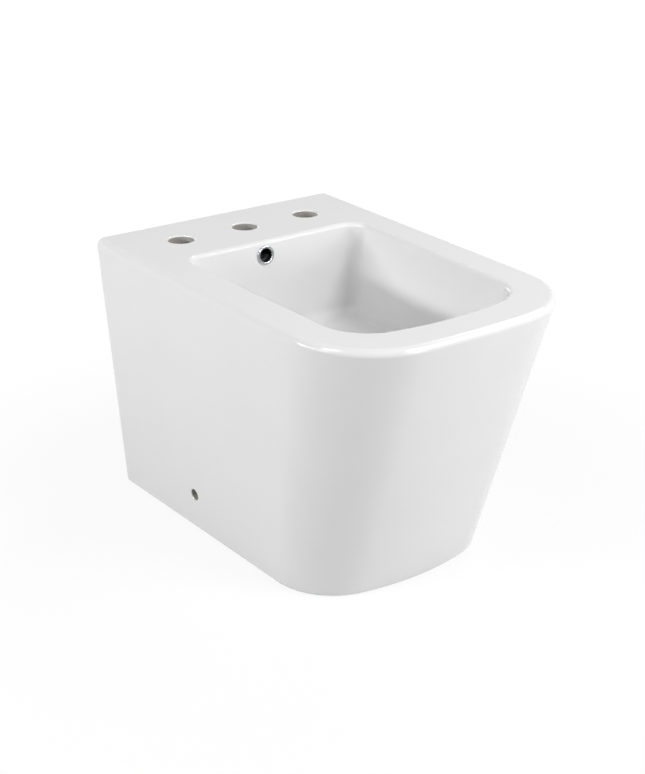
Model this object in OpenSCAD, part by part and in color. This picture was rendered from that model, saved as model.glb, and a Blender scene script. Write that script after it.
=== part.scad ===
// Back-to-wall bidet: a glazed china body with three bare tap holes and an overflow,
// its push-open waste, the bottle trap inside the body and the brackets that hold it to the floor.
// Millimetres. The floor is z = 0, the wall is at +Y, the front faces -Y and x = 0 is the middle.

/* [Body] */
// Width of the top at the wall
top_w = 380; // [372:2:400]
// Width of the top at the front
top_front_w = 362; // [350:2:370]
// Depth of the top, from the wall to the front
body_d = 553; // [540:1:590]
// Height of the top above the floor
body_h = 366; // [356:2:420]
// Width of the foot at the wall
foot_w = 330; // [322:2:350]
// Width of the foot at the front
foot_front_w = 292; // [284:2:312]
// Depth of the foot, from the wall to the front
foot_d = 450; // [430:2:480]
// Radius of the two front corners at the top
top_corner_r = 116; // [100:2:130]
// Radius of the two front corners at the foot
foot_corner_r = 90; // [70:2:110]
// How far the front bows out at the top
top_bow = 14; // [6:1:20]
// How far the front bows out at the foot
foot_bow = 30; // [16:1:40]
// Radius of the upright edges against the wall
rear_edge_r = 5; // [4:1:12]
// Length of the rounding of the back's upper and lower edges
rear_edge = 2; // [1:0.5:4]
// Length of the rounding between the top and the walls
top_edge = 10; // [6:1:14]
// Length of the rounding round the foot
foot_edge = 6; // [3:1:8]
// Thickness of the outer walls
wall_t = 12; // [9:1:14]
// Thickness of the deck and the rim
deck_t = 15; // [13:1:20]

/* [Bowl] */
// Distance from the wall to the bowl
deck_d = 133; // [125:1:145]
// Width of the opening beside the deck
bowl_w = 286; // [270:2:294]
// Width of the opening at the front
bowl_front_w = 268; // [250:2:276]
// Width of the rim at the front
rim_front = 50; // [42:1:60]
// Radius of the opening's corners beside the deck
bowl_rear_r = 30; // [22:1:44]
// Radius of the opening's front corners
bowl_front_r = 66; // [50:1:80]
// How far the opening's front bows out
bowl_bow = 20; // [10:1:26]
// Length of the rounding along the rim's inner edge
bowl_edge = 6; // [4:1:9]
// How far the bowl's walls lean in on their way down
bowl_draft = 9; // [4:1:16]
// Depth of the bowl where its walls meet the floor
bowl_wall_h = 127; // [115:1:129]
// Depth of the bowl at the waste
bowl_depth = 135; // [133:1:145]
// Length of the rounding between the bowl's walls and its floor
bowl_foot_edge = 16; // [10:1:24]
// Thickness of the bowl's walls and floor
bowl_t = 11; // [9:1:14]
// Distance from the wall to the middle of the waste
drain_d = 285; // [270:1:305]

/* [Holes] */
// Radius of each tap hole
tap_r = 17.5; // [16:0.5:19]
// Distance from one tap hole to the next
tap_gap = 100; // [90:1:105]
// Distance from the wall to the tap holes
tap_d = 70; // [60:1:78]
// Rounding of each tap hole's edge
tap_edge = 2.2; // [1:0.1:3]
// Radius of the overflow hole
overflow_r = 10.5; // [9:0.5:12]
// Depth of the middle of the overflow below the top
overflow_drop = 19.5; // [18:0.5:30]
// Distance from the middle to the overflow, to the left as in the photograph
overflow_x = 14; // [0:1:20]
// Radius of each side fixing hole
fixing_r = 8; // [5:0.5:9]
// Rounding of each side fixing hole's edge
fixing_edge = 1; // [0.5:0.5:2]
// Height of the side fixing holes
fixing_h = 54; // [46:1:64]
// Distance from the wall to the side fixing holes
fixing_d = 184; // [160:1:220]
// Width of the opening in the back
back_open_w = 236; // [200:2:260]
// Height of the opening in the back
back_open_h = 250; // [200:5:270]
// Radius of the back opening's upper corners
back_open_r = 40; // [20:1:60]

/* [Waste] */
// Radius of the waste's flange
flange_r = 32; // [31:0.5:34]
// Thickness of the flange
flange_t = 2.2; // [2:0.1:3]
// Radius over the waste's thread
thread_r = 20.9; // [20:0.1:21.5]
// Wall of the waste's tube
waste_wall = 2.2; // [1.8:0.1:2.6]
// Length of thread that the waste has left below its backnut
waste_tail = 12; // [10:1:16]
// Depth of the thread
thread_depth = 0.8; // [0.5:0.1:1]
// Pitch of the thread
thread_pitch = 2.3; // [2:0.1:3]
// Height of the china boss round the waste
boss_h = 45; // [42:1:48]
// Width of the backnut across its flats
backnut_w = 52; // [48:1:56]
// Height of the backnut
backnut_h = 12; // [9:1:14]
// Radius of the plug's cap
cap_r = 30; // [28:0.5:31]
// How far the plug rises when it is pushed open
plug_travel = 8; // [6:0.5:9]

/* [Trap] */
// Outer radius of the trap's pipes
pipe_r = 16; // [15:0.5:17]
// Wall of the trap's pipes
pipe_wall = 1.6; // [1.4:0.1:2]
// Radius of the bottle
bottle_r = 31; // [30:0.5:34]
// Wall of the bottle
bottle_wall = 3; // [2.5:0.1:3.5]
// Length of the inlet tube that shows between its two nuts
nut_space = 4.25; // [2:0.25:8]
// Height of the bottle's cup above the floor
cup_z = 11; // [6:1:20]
// Length of the outlet's socket, from the bottle's middle
socket_len = 50; // [46:1:60]
// Length of the outlet pipe's end that goes into the wall coupling
spigot_len = 30; // [20:1:40]
// Radius of the trap's nuts
nut_r = 26; // [25.5:0.5:28]
// Number of grips round each nut
nut_ribs = 12; // [8:1:16]

/* [Brackets] */
// Height of each floor bracket
bracket_h = 80; // [74:1:90]
// Width of each floor bracket
bracket_w = 52; // [46:1:64]
// How far each bracket's foot reaches in
bracket_foot = 52; // [46:1:60]
// Thickness of the brackets
bracket_t = 5; // [4:0.5:7]
// Radius of the hole in each bracket for the side screw
screw_hole_r = 4; // [3:0.25:4.5]
// Radius of the brackets' floor screw holes
floor_hole_r = 4.25; // [3:0.25:5]
// Distance between a bracket's two floor screw holes
floor_hole_gap = 28; // [24:1:30]

/* [Hidden] */
$fn = 96;

// Clearances: between faces that rest on each other, in a thread, and of the sliding plunger
seat_gap = 0.05;
thread_gap = 0.15;
slide_gap = 0.06;
plug_gap = 0.1;
bracket_gap = 0.2;
// How far a cut runs past the face it opens
past = 1;

// Colours of the materials
china = "white";
chrome = "silver";
brass = "goldenrod";
rubber = [0.13, 0.13, 0.14];
plastic = "whitesmoke";
nylon = [0.1, 0.1, 0.11];

// Points along each stretch of an outline seen from above
bow_steps = 7;
corner_steps = 12;
rear_steps = 6;
edge_steps = 5;
foot_steps = 7;

function unit(v) = v / norm(v);
function mix(a, b, t) = a + (b - a) * t;
function bow_angle(bow, half, x) = atan(2 * bow * x / (half * half));

// Right half of an outline from the middle of its front to its rear corner. Its sizes are
// [half width at the rear, half width at the front, rear y, front y, front radius, bow, rear radius].
function half_outline(s) =
    let(
        rear = s[0], front = s[1], y_rear = s[2], y_front = s[3], r = s[4], bow = s[5], rr = s[6],
        lean = atan((rear - front) / (y_rear - y_front)),
        first = bow_angle(bow, front, front - r),
        reach = front - r + r * sin(first),
        drop = y_front + bow * pow(reach / front, 2) + r * cos(first),
        cx = rear + ((drop - y_rear) * sin(lean) - r) / cos(lean),
        a = bow_angle(bow, front, cx + r * sin(first)),
        tx = cx + r * sin(a),
        cy = y_front + bow * pow(tx / front, 2) + r * cos(a),
        rx = rear - rr * (1 + sin(lean)) / cos(lean)
    )
    concat(
        [for (i = [0:bow_steps - 1]) let(x = tx * i / bow_steps) [x, y_front + bow * pow(x / front, 2)]],
        [for (i = [0:corner_steps]) let(t = mix(a, 90 - lean, i / corner_steps))
            [cx + r * sin(t), cy - r * cos(t)]],
        [for (i = [0:rear_steps]) let(t = mix(-lean, 90, i / rear_steps))
            [rx + rr * cos(t), y_rear - rr + rr * sin(t)]]
    );

// A whole outline, anticlockwise from above, at height z
function outline(s, z) =
    let(h = half_outline(s))
    concat(
        [for (p = h) [p[0], p[1], z]],
        [for (i = [len(h) - 1:-1:1]) [-h[i][0], h[i][1], z]]
    );

// The same outline drawn in by e on every side, or by another distance at its rear
function drawn_in(s, e, rear = undef) =
    [s[0] - e, s[1] - e, s[2] - (is_undef(rear) ? e : rear), s[3] + e, s[4] - e, s[5], max(s[6] - e, 0.5)];

// One point of a rounding that leaves a towards corner c and arrives at b, as near as can be to a true arc
function rounded(a, c, b, t) =
    let(w = 2 * sin(acos(unit(a - c) * unit(b - c)) / 2) * t * (1 - t), p = (1 - t) * (1 - t), q = t * t)
    (p * a + w * c + q * b) / (p + w + q);

// Everything is set out from the wall, and y = 0 is halfway between the wall and the rounded front
top_corner = [-body_d, body_h];
edge_foot = top_corner + unit([-foot_d, 0] - top_corner) * top_edge;
edge_top = top_corner + [top_edge, 0];
front_line = [for (k = [0:edge_steps]) rounded(edge_foot, top_corner, edge_top, k / edge_steps)[0]];
wall_y = -min(front_line) / 2;
drain_y = wall_y - drain_d;
fixing_y = wall_y - fixing_d;

function rounded_rings(a, c, b, steps) =
    [for (k = [0:steps]) [for (i = [0:len(a) - 1]) rounded(a[i], c[i], b[i], k / steps)]];
// Points at a set distance from each corner towards its partner
function towards(from, to, length) = [for (i = [0:len(from) - 1]) from[i] + unit(to[i] - from[i]) * length];

// A closed skin over rings of points, the lowest first
module loft(rings) {
    n = len(rings[0]);
    last = (len(rings) - 1) * n;
    sides = [for (k = [0:len(rings) - 2], i = [0:n - 1]) let(a = k * n + i, b = k * n + (i + 1) % n)
        each [[a, a + n, b + n], [a, b + n, b]]];
    polyhedron(
        points = [for (r = rings) each r],
        faces = concat([[for (i = [0:n - 1]) i]], sides, [[for (i = [n - 1:-1:0]) last + i]]),
        convexity = 6
    );
}

// Outside of the body at height z
function body_plan(z) =
    let(t = z / body_h)
    [mix(foot_w, top_w, t) / 2, mix(foot_front_w, top_front_w, t) / 2, wall_y,
        wall_y - mix(foot_d, body_d, t), mix(foot_corner_r, top_corner_r, t), mix(foot_bow, top_bow, t),
        rear_edge_r];

// Opening of the bowl in the top
bowl_plan = [bowl_w / 2, bowl_front_w / 2, wall_y - deck_d, wall_y - body_d + rim_front, bowl_front_r,
    bowl_bow, bowl_rear_r];
drain_z = body_h - bowl_depth;
bowl_foot_z = body_h - bowl_wall_h;
seat_depth = 3;
seat_r = flange_r + 2;
seat_z = drain_z - seat_depth;
drain_flat_r = seat_r + 4;

module body_skin() {
    top = outline(body_plan(body_h), body_h);
    foot = outline(body_plan(0), 0);
    top_in = outline(drawn_in(body_plan(body_h), top_edge, rear_edge), body_h);
    foot_in = outline(drawn_in(body_plan(0), foot_edge, rear_edge), 0);
    loft(concat(
        rounded_rings(foot_in, foot, towards(foot, top, foot_edge), edge_steps),
        rounded_rings(towards(top, foot, top_edge), top, top_in, edge_steps)
    ));
}

// Space inside the bowl, grown by e on every side for the outside of its walls
module bowl_space(e = 0) {
    edge = outline(drawn_in(bowl_plan, bowl_edge - e), body_h);
    foot = outline(drawn_in(bowl_plan, bowl_edge + bowl_draft - e), bowl_foot_z - e);
    centre = [0, drain_y, drain_z - e];
    drain = [for (p = foot) centre + unit([p[0], p[1] - drain_y, 0]) * (drain_flat_r + e)];
    floor_rings = concat([drain], rounded_rings(
        towards(foot, drain, bowl_foot_edge), foot, towards(foot, edge, bowl_foot_edge), foot_steps));
    mouth = outline(bowl_plan, body_h);
    above = outline(bowl_plan, body_h + past);
    if (e == 0) {
        rim_rings = rounded_rings(towards(edge, foot, bowl_edge), edge, mouth, edge_steps);
        loft(concat(floor_rings, rim_rings, [above]));
    } else {
        loft(concat(floor_rings, [towards(edge, foot, bowl_edge)]));
    }
}

// Hollow under the deck and round the bowl, open to the floor
module hollow_skin() {
    loft([
        outline(drawn_in(body_plan(-past), wall_t), -past),
        outline(drawn_in(body_plan(body_h - deck_t), wall_t), body_h - deck_t)
    ]);
}

// Overflow: its hole follows the lean of the bowl's rear wall
ring_r = 13;
overflow_lean = atan(bowl_draft / bowl_wall_h);
overflow_depth = max(overflow_drop, bowl_edge + ring_r + 0.5);
overflow_z = body_h - overflow_depth;
overflow_y = wall_y - deck_d - bowl_edge - bowl_draft * overflow_depth / bowl_wall_h;
duct_y = overflow_y + bowl_t - 1;
boss_r = 41;
boss_z = drain_z - boss_h;
gallery_floor = 13;
gallery_h = 18;
gallery_r = 31;
gallery_z = boss_z + gallery_floor;
drain_hole_r = thread_r + 2.1;
duct_w = 22;
duct_d = 14;
duct_wall = 8;
duct_foot_z = gallery_z + 4;

module at_overflow() {
    translate([-overflow_x, overflow_y, overflow_z]) rotate([90 - overflow_lean, 0, 0]) children();
}

// Duct from the overflow down behind the bowl, then under its floor to the waste, grown by e
module overflow_duct(e = 0) {
    low = duct_foot_z - e;
    corner = [-overflow_x - duct_w / 2 - e, duct_y - e, low];
    hull() {
        translate(corner) cube([duct_w + 2 * e, duct_d + 2 * e, duct_w + 2 * e]);
        translate([-duct_w / 2 - e, drain_y, low]) cube([duct_w + 2 * e, gallery_r, gallery_h - 5 + 2 * e]);
    }
    translate(corner) cube([duct_w + 2 * e, duct_d + 2 * e, overflow_z + overflow_r - duct_foot_z + 2 * e]);
}

// Ring-shaped cutter that rounds the edge of a hole of radius r whose mouth is at z = 0
module edge_rounding(r, e) {
    rotate_extrude() difference() {
        translate([r - past / 2, -e]) square([e + past / 2, e + past]);
        translate([r + e, -e]) circle(r = e, $fn = 32);
    }
}

// Where the outside of the side wall is at the fixing holes, and the flat face of the boss behind it
fixing_plan = body_plan(fixing_h);
fixing_x = mix(fixing_plan[0], fixing_plan[1], fixing_d / (wall_y - fixing_plan[3]));
fixing_boss_h = 5;
fixing_boss_r = 17;
boss_face_x = fixing_x - wall_t - fixing_boss_h;
flare_h = 6 * fixing_edge;

module side_hole() {
    translate([boss_face_x - past, fixing_y, fixing_h]) rotate([0, 90, 0])
        cylinder(r = fixing_r, h = wall_t + fixing_boss_h + flare_h + past);
    translate([fixing_x - fixing_edge / 2, fixing_y, fixing_h]) rotate([0, 90, 0])
        cylinder(r1 = fixing_r, r2 = fixing_r + flare_h, h = flare_h);
}

module both_sides() {
    children();
    mirror([1, 0, 0]) children();
}

module back_opening() {
    translate([0, wall_y + past, 0]) rotate([90, 0, 0]) linear_extrude(wall_t + 2 * past) {
        translate([-back_open_w / 2, -past]) square([back_open_w, back_open_h - back_open_r + past]);
        translate([-back_open_w / 2 + back_open_r, 0]) square([back_open_w - 2 * back_open_r, back_open_h]);
        for (side = [-1, 1])
            translate([side * (back_open_w / 2 - back_open_r), back_open_h - back_open_r])
                circle(r = back_open_r);
    }
}

module ceramic_body() {
    color(china) difference() {
        body_skin();
        bowl_space();
        difference() {
            hollow_skin();
            bowl_space(bowl_t);
            translate([0, drain_y, boss_z]) cylinder(r = boss_r, h = boss_h);
            overflow_duct(duct_wall);
            both_sides() translate([boss_face_x, fixing_y, fixing_h]) rotate([0, 90, 0])
                cylinder(r = fixing_boss_r, h = wall_t + 8);
        }
        overflow_duct();
        translate([0, drain_y, boss_z - past]) cylinder(r = drain_hole_r, h = boss_h + 2 * past);
        translate([0, drain_y, gallery_z]) cylinder(r = gallery_r, h = gallery_h);
        translate([0, drain_y, seat_z]) cylinder(r = seat_r, h = seat_depth + past);
        for (i = [-1:1]) translate([i * tap_gap, wall_y - tap_d, 0]) {
            translate([0, 0, body_h - deck_t - past]) cylinder(r = tap_r, h = deck_t + 2 * past);
            translate([0, 0, body_h]) edge_rounding(tap_r, tap_edge);
        }
        at_overflow() translate([0, 0, -bowl_t - 4]) cylinder(r = overflow_r, h = bowl_t + duct_d);
        both_sides() side_hole();
        back_opening();
    }
}

// Chromed ring that clips into the overflow hole
ring_hole_r = 8.3;
ring_t = 2.4;
clip_len = 13;
module overflow_ring() {
    clip_r = overflow_r - 0.3;
    color(chrome) at_overflow() rotate_extrude() {
        translate([0, seat_gap]) polygon(concat(
            [[ring_hole_r, 0], [ring_r - 0.3, 0]],
            [for (a = [0:15:90]) [ring_r - 1.6 + 1.6 * cos(a), ring_t - 1.8 + 1.8 * sin(a)]],
            [for (a = [90:15:180]) [ring_hole_r + 1.4 + 1.4 * cos(a), ring_t - 1.8 + 1.8 * sin(a)]]
        ));
        polygon([[ring_hole_r, seat_gap + 0.1], [ring_hole_r, -clip_len], [clip_r - 0.8, -clip_len],
            [clip_r, -clip_len + 3], [clip_r - 0.8, -clip_len + 4.5], [clip_r - 0.8, seat_gap + 0.1]]);
    }
}

// Outline of a threaded tube's outer wall from z0 up to z1, as points of a profile
function thread_line(r, z0, z1) =
    let(turns = floor((z1 - z0) / thread_pitch))
    [for (i = [0:2 * turns]) [i % 2 == 0 ? r : r - thread_depth, z0 + i * thread_pitch / 2]];

// Waste: flange, slotted tube and the cross bar that carries the push mechanism
gasket_t = 1.5;
flange_z = seat_z + gasket_t + seat_gap;
flange_top_z = flange_z + flange_t;
cone_h = 5;
slip_t = 2;
slip_z = boss_z - cone_h - seat_gap - slip_t;
backnut_z = slip_z - seat_gap - backnut_h;
tail_z = backnut_z - waste_tail;
tube_in_r = thread_r - waste_wall;
flange_mouth_r = thread_r - 0.5;
bar_h = 5;
bar_z = gallery_z - bar_h;
stud_r = 5;
slot_w = 9;
slot_h = 14;

module at_drain() {
    translate([0, drain_y, 0]) children();
}

module waste_body() {
    thread_top = bar_z + 2;
    color(chrome) at_drain() difference() {
        union() {
            rotate_extrude() difference() {
                polygon(concat(
                    [[0, tail_z]],
                    thread_line(thread_r, tail_z, thread_top),
                    [[thread_r, thread_top + 1], [thread_r, flange_z], [flange_r - 0.6, flange_z],
                        [flange_r, flange_z + 0.6], [flange_r, flange_top_z - 0.8],
                        [flange_r - 0.8, flange_top_z], [0, flange_top_z]]
                ));
                translate([-past, tail_z - past]) square([tube_in_r + past, flange_z - 2 - tail_z + past]);
                polygon([[-past, flange_z - 2.1], [tube_in_r, flange_z - 2.1],
                    [flange_mouth_r, flange_top_z - 0.5], [flange_mouth_r, flange_top_z + past],
                    [-past, flange_top_z + past]]);
            }
            for (turn = [0, 90]) rotate([0, 0, turn]) translate([-tube_in_r - waste_wall / 2, -2, bar_z])
                cube([2 * tube_in_r + waste_wall, 4, bar_h]);
            translate([0, 0, bar_z]) cylinder(r = stud_r + 4, h = bar_h);
        }
        translate([0, 0, bar_z - past]) cylinder(r = stud_r + thread_gap, h = bar_h + 2 * past);
        for (turn = [45:90:315]) rotate([0, 0, turn])
            translate([tube_in_r - 3, -slot_w / 2, gallery_z + 2]) cube([waste_wall + 6, slot_w, slot_h]);
    }
}

// Flat ring on the waste's axis
module washer(r_in, r_out, z, h) {
    at_drain() translate([0, 0, z]) difference() {
        cylinder(r = r_out, h = h);
        translate([0, 0, -past]) cylinder(r = r_in, h = h + 2 * past);
    }
}

module flange_gasket() {
    color(rubber) washer(thread_r + thread_gap, flange_r - 1, seat_z + seat_gap / 2, gasket_t);
}

// Under the boss: a rubber cone, a slip washer and the backnut that draws them up
gasket_r = 31;
module tapered_gasket() {
    color(rubber) at_drain() rotate_extrude() polygon([
        [thread_r + thread_gap, boss_z - cone_h], [gasket_r - 2, boss_z - cone_h],
        [gasket_r, boss_z - seat_gap], [drain_hole_r - 0.4, boss_z - seat_gap],
        [drain_hole_r - 1, boss_z + 5], [thread_r + thread_gap, boss_z + 5]
    ]);
}

module slip_washer() {
    color(plastic) washer(thread_r + thread_gap, gasket_r - 2, slip_z, slip_t);
}

module backnut() {
    color(brass) at_drain() translate([0, 0, backnut_z]) difference() {
        intersection() {
            cylinder(r = backnut_w / sqrt(3), h = backnut_h, $fn = 6);
            rotate_extrude() polygon([[0, 0], [backnut_w / 2 + 0.5, 0], [backnut_w / sqrt(3) + 0.5, 2.5],
                [backnut_w / sqrt(3) + 0.5, backnut_h - 2.5], [backnut_w / 2 + 0.5, backnut_h],
                [0, backnut_h]]);
        }
        translate([0, 0, -past]) cylinder(r = thread_r + thread_gap, h = backnut_h + 2 * past);
    }
}

// Push mechanism: a cartridge on the cross bar, a plunger that slides in it and a spring round the plunger
cartridge_r = 7.5;
cartridge_h = 14;
plunger_r = 4;
collar_h = 2;
collar_z = gallery_z + cartridge_h + 9;
plug_seal_t = 1.5;
cap_z = flange_top_z + plug_gap + plug_seal_t + seat_gap;
cartridge_bore_z = gallery_z + 1;
module click_cartridge() {
    color(brass) at_drain() difference() {
        union() {
            translate([0, 0, gallery_z + seat_gap]) cylinder(r = cartridge_r, h = cartridge_h - seat_gap);
            translate([0, 0, bar_z - 4]) cylinder(r = stud_r, h = bar_h + 5);
        }
        translate([0, 0, cartridge_bore_z]) cylinder(r = plunger_r + slide_gap, h = cartridge_h + past);
    }
}

module click_plunger() {
    color(chrome) at_drain() {
        translate([0, 0, cartridge_bore_z + 1]) cylinder(r = plunger_r, h = cap_z - 3 - cartridge_bore_z);
        translate([0, 0, collar_z]) cylinder(r = cartridge_r - 0.5, h = collar_h);
    }
}

// A spring of round turns, swept from a six-sided section with a ring of points every 30 degrees
spring_turns = 5;
spring_wire = 1;
spring_r = 5.9;
spring_z = gallery_z + cartridge_h + seat_gap;
spring_h = collar_z - spring_z - seat_gap;
function spring_ring(i, steps) =
    let(a = 30 * i, z = spring_z + spring_wire / 2 + (spring_h - spring_wire) * i / steps)
    [for (k = [0:5]) let(r = spring_r + spring_wire / 2 * cos(60 * k))
        [r * cos(a), drain_y + r * sin(a), z + spring_wire / 2 * sin(60 * k)]];
module click_spring() {
    steps = 12 * spring_turns;
    n = 6;
    color("dimgray") polyhedron(
        points = [for (i = [0:steps]) each spring_ring(i, steps)],
        faces = concat(
            [[for (k = [0:n - 1]) k]],
            [for (i = [0:steps - 1], k = [0:n - 1]) let(a = i * n + k, b = i * n + (k + 1) % n)
                each [[a, a + n, b + n], [a, b + n, b]]],
            [[for (k = [n - 1:-1:0]) steps * n + k]]
        )
    );
}

// Plug: a domed cap screwed on the plunger, with a flat seal under its rim
cap_h = 6;
cap_edge = 0.8;
cap_roof = 1;
module plug_cap() {
    hub_r = cartridge_r;
    hub_z = collar_z + collar_h + seat_gap;
    round_h = 2 * cap_edge;
    color(chrome) at_drain() rotate_extrude() polygon(concat(
        [[plunger_r + seat_gap, hub_z], [hub_r, hub_z], [hub_r, cap_z], [cap_r - cap_edge, cap_z],
            [cap_r, cap_z + cap_edge]],
        [for (a = [15:15:90])
            [(cap_r - round_h) * cos(a) + round_h * (1 - a / 90),
                cap_z + round_h + (cap_h - round_h) * sin(a)]],
        [[0, cap_z - cap_roof], [plunger_r + seat_gap, cap_z - cap_roof]]
    ));
}

module plug_seal() {
    color(rubber) washer(flange_mouth_r - 3, cap_r - 1, flange_top_z + plug_gap, plug_seal_t);
}

// A union nut with grips and a lip that holds what it draws up, standing on its open end at z = 0.
// depth is from the open end to the inside of the lip.
nut_lip = 3;
module union_nut(bore_r, hole_r, depth) {
    difference() {
        union() {
            cylinder(r = nut_r - 1, h = depth + nut_lip);
            for (turn = [0:nut_ribs - 1]) rotate([0, 0, 360 / nut_ribs * turn])
                translate([nut_r - 2.5, -1.6, 0.5]) cube([2.5, 3.2, depth + nut_lip - 1]);
        }
        translate([0, 0, -past]) cylinder(r = bore_r, h = depth + past);
        cylinder(r = hole_r, h = depth + nut_lip + past);
    }
}

// Trap: a flanged tube under the waste runs down into the bottle, and a socket leads out to the wall.
// The bottle hangs from the waste, and its cup takes up what height is left above the floor.
inlet_grip = 9;
inlet_washer_t = 3;
tube_flange_t = 2.5;
tube_flange_r = thread_r - 1;
tube_top_z = tail_z - inlet_washer_t - 2 * seat_gap;
inlet_nut_depth = inlet_grip + inlet_washer_t + tube_flange_t + 3 * seat_gap;
neck_h = 12;
neck_r = thread_r;
joint_seal_t = 4;
top_nut_depth = neck_h + joint_seal_t + 2 * seat_gap;
inlet_nut_z = tail_z + inlet_grip - inlet_nut_depth - nut_lip;
bottle_top = inlet_nut_z - nut_space - nut_lip - top_nut_depth;
neck_z = bottle_top + neck_h;
bottle_edge = 5;
bottle_shoulder = 2;
outlet_h = bottle_top - bottle_shoulder - neck_r;
pipe_gap = 0.25;
skirt_step = 4;
cup_collar_h = 14;
cup_collar_z = outlet_h - neck_r - skirt_step - cup_collar_h;
cup_seal_t = 2;
cup_round = 8;
skirt_r = bottle_r - 2.4;
skirt_z = cup_collar_z + cup_seal_t + 2 * seat_gap;

module trap_inlet_nut() {
    color(plastic) at_drain() translate([0, 0, tail_z + inlet_grip]) mirror([0, 0, 1])
        union_nut(thread_r + thread_gap, pipe_r + pipe_gap, inlet_nut_depth);
}

module trap_inlet_washer() {
    low = tail_z - seat_gap - inlet_washer_t;
    color(rubber) washer(pipe_r - pipe_wall, tube_flange_r, low, inlet_washer_t);
}

module trap_inlet_tube() {
    low = mix(cup_z + bottle_wall, cup_collar_z, 0.45);
    color(plastic) at_drain() difference() {
        union() {
            translate([0, 0, low]) cylinder(r = pipe_r, h = tube_top_z - low);
            translate([0, 0, tube_top_z - tube_flange_t]) cylinder(r = tube_flange_r, h = tube_flange_t);
        }
        translate([0, 0, low - past]) cylinder(r = pipe_r - pipe_wall, h = tube_top_z - low + 2 * past);
    }
}

nut_rest = 1.5;
module trap_top_nut() {
    color(plastic) at_drain() translate([0, 0, bottle_top + nut_rest])
        union_nut(neck_r + thread_gap, pipe_r + pipe_gap, top_nut_depth - nut_rest);
}

// Wedge-shaped ring round a pipe of radius r
module joint_seal(r) {
    rotate_extrude() polygon([[r + seat_gap, 0], [neck_r - 0.6, 0], [neck_r - 0.6, 0.4 * joint_seal_t],
        [r + 0.4 * joint_seal_t, joint_seal_t], [r + seat_gap, joint_seal_t]]);
}

module trap_top_seal() {
    color(rubber) at_drain() translate([0, 0, neck_z + seat_gap]) joint_seal(pipe_r);
}

module at_outlet() {
    translate([0, drain_y, outlet_h]) rotate([-90, 0, 0]) children();
}

module trap_body() {
    inner_r = bottle_r - bottle_wall;
    collar_top = cup_collar_z + cup_collar_h;
    color(plastic) difference() {
        union() {
            at_drain() rotate_extrude() polygon(concat(
                [[0, skirt_z], [skirt_r, skirt_z], [skirt_r, collar_top + skirt_step / 2],
                    [bottle_r, collar_top + skirt_step]],
                [for (a = [0:30:90]) [bottle_r - bottle_edge * (1 - cos(a)),
                    bottle_top - bottle_edge * (1 - sin(a))]],
                [[neck_r, bottle_top]],
                [for (p = thread_line(neck_r, bottle_top + 1, neck_z)) p],
                [[neck_r, neck_z], [0, neck_z]]
            ));
            at_outlet() rotate_extrude() polygon(concat(
                [[0, bottle_r - 8], [neck_r, bottle_r - 8], [neck_r, bottle_r + 2]],
                [for (p = thread_line(neck_r, bottle_r + 3, socket_len)) p],
                [[neck_r, socket_len], [0, socket_len]]
            ));
        }
        at_drain() rotate_extrude() polygon([
            [0, skirt_z - past], [skirt_r - bottle_wall, skirt_z - past],
            [skirt_r - bottle_wall, collar_top + skirt_step], [inner_r, collar_top + 1.5 * skirt_step],
            [inner_r, bottle_top - bottle_wall - bottle_edge / 2],
            [inner_r - bottle_edge / 2, bottle_top - bottle_wall], [0, bottle_top - bottle_wall]
        ]);
        at_drain() translate([0, 0, bottle_top - bottle_wall - past])
            cylinder(r = pipe_r + pipe_gap, h = neck_h + 2 * past + bottle_wall);
        at_outlet() translate([0, 0, bottle_r - 14]) cylinder(r = pipe_r - pipe_wall, h = socket_len);
        at_outlet() translate([0, 0, bottle_r]) cylinder(r = pipe_r + pipe_gap, h = socket_len);
    }
}

module trap_cup() {
    collar_r = skirt_r + 5;
    shoulder_r = skirt_r - bottle_wall;
    collar_top = cup_collar_z + cup_collar_h;
    cup_r = shoulder_r + 2;
    inside = cup_round - bottle_wall;
    color(plastic) at_drain() difference() {
        union() {
            rotate_extrude() polygon(concat(
                [[0, cup_z]],
                [for (a = [-75:15:0])
                    [cup_r - cup_round * (1 - cos(a)), cup_z + cup_round * (1 + sin(a))]],
                [[cup_r, cup_collar_z - 4], [collar_r, cup_collar_z - 1],
                    [collar_r, collar_top - 1], [collar_r - 1, collar_top], [0, collar_top]]
            ));
            for (turn = [0:nut_ribs - 1]) rotate([0, 0, 360 / nut_ribs * turn])
                translate([collar_r - 1, -2, cup_collar_z]) cube([2, 4, cup_collar_h - 2]);
        }
        translate([0, 0, cup_collar_z]) cylinder(r = skirt_r + thread_gap, h = cup_collar_h + past);
        rotate_extrude() polygon(concat(
            [[0, cup_z + bottle_wall]],
            [for (a = [-75:15:0])
                [cup_r - cup_round + inside * cos(a), cup_z + cup_round + inside * sin(a)]],
            [[cup_r - bottle_wall, cup_collar_z + past], [0, cup_collar_z + past]]
        ));
    }
}

module trap_cup_seal() {
    color(rubber) washer(skirt_r - bottle_wall, skirt_r - 0.3, cup_collar_z + seat_gap, cup_seal_t);
}

module trap_outlet_nut() {
    start = bottle_r + 6;
    color(plastic) at_outlet() translate([0, 0, start])
        union_nut(neck_r + thread_gap, pipe_r + pipe_gap, socket_len - start + joint_seal_t + 2 * seat_gap);
}

// The outlet pipe is a little thinner than its calibrated end at the wall
outlet_pipe_r = pipe_r - 0.2;
module trap_outlet_seal() {
    color(rubber) at_outlet() translate([0, 0, socket_len + seat_gap]) joint_seal(outlet_pipe_r);
}

module trap_outlet_pipe() {
    start = bottle_r + 1;
    color(plastic) at_outlet() difference() {
        union() {
            translate([0, 0, start]) cylinder(r = outlet_pipe_r, h = drain_d - start - spigot_len);
            translate([0, 0, drain_d - spigot_len]) cylinder(r = pipe_r, h = spigot_len);
        }
        translate([0, 0, start - past]) cylinder(r = pipe_r - pipe_wall, h = drain_d - start + 2 * past);
    }
}

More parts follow.
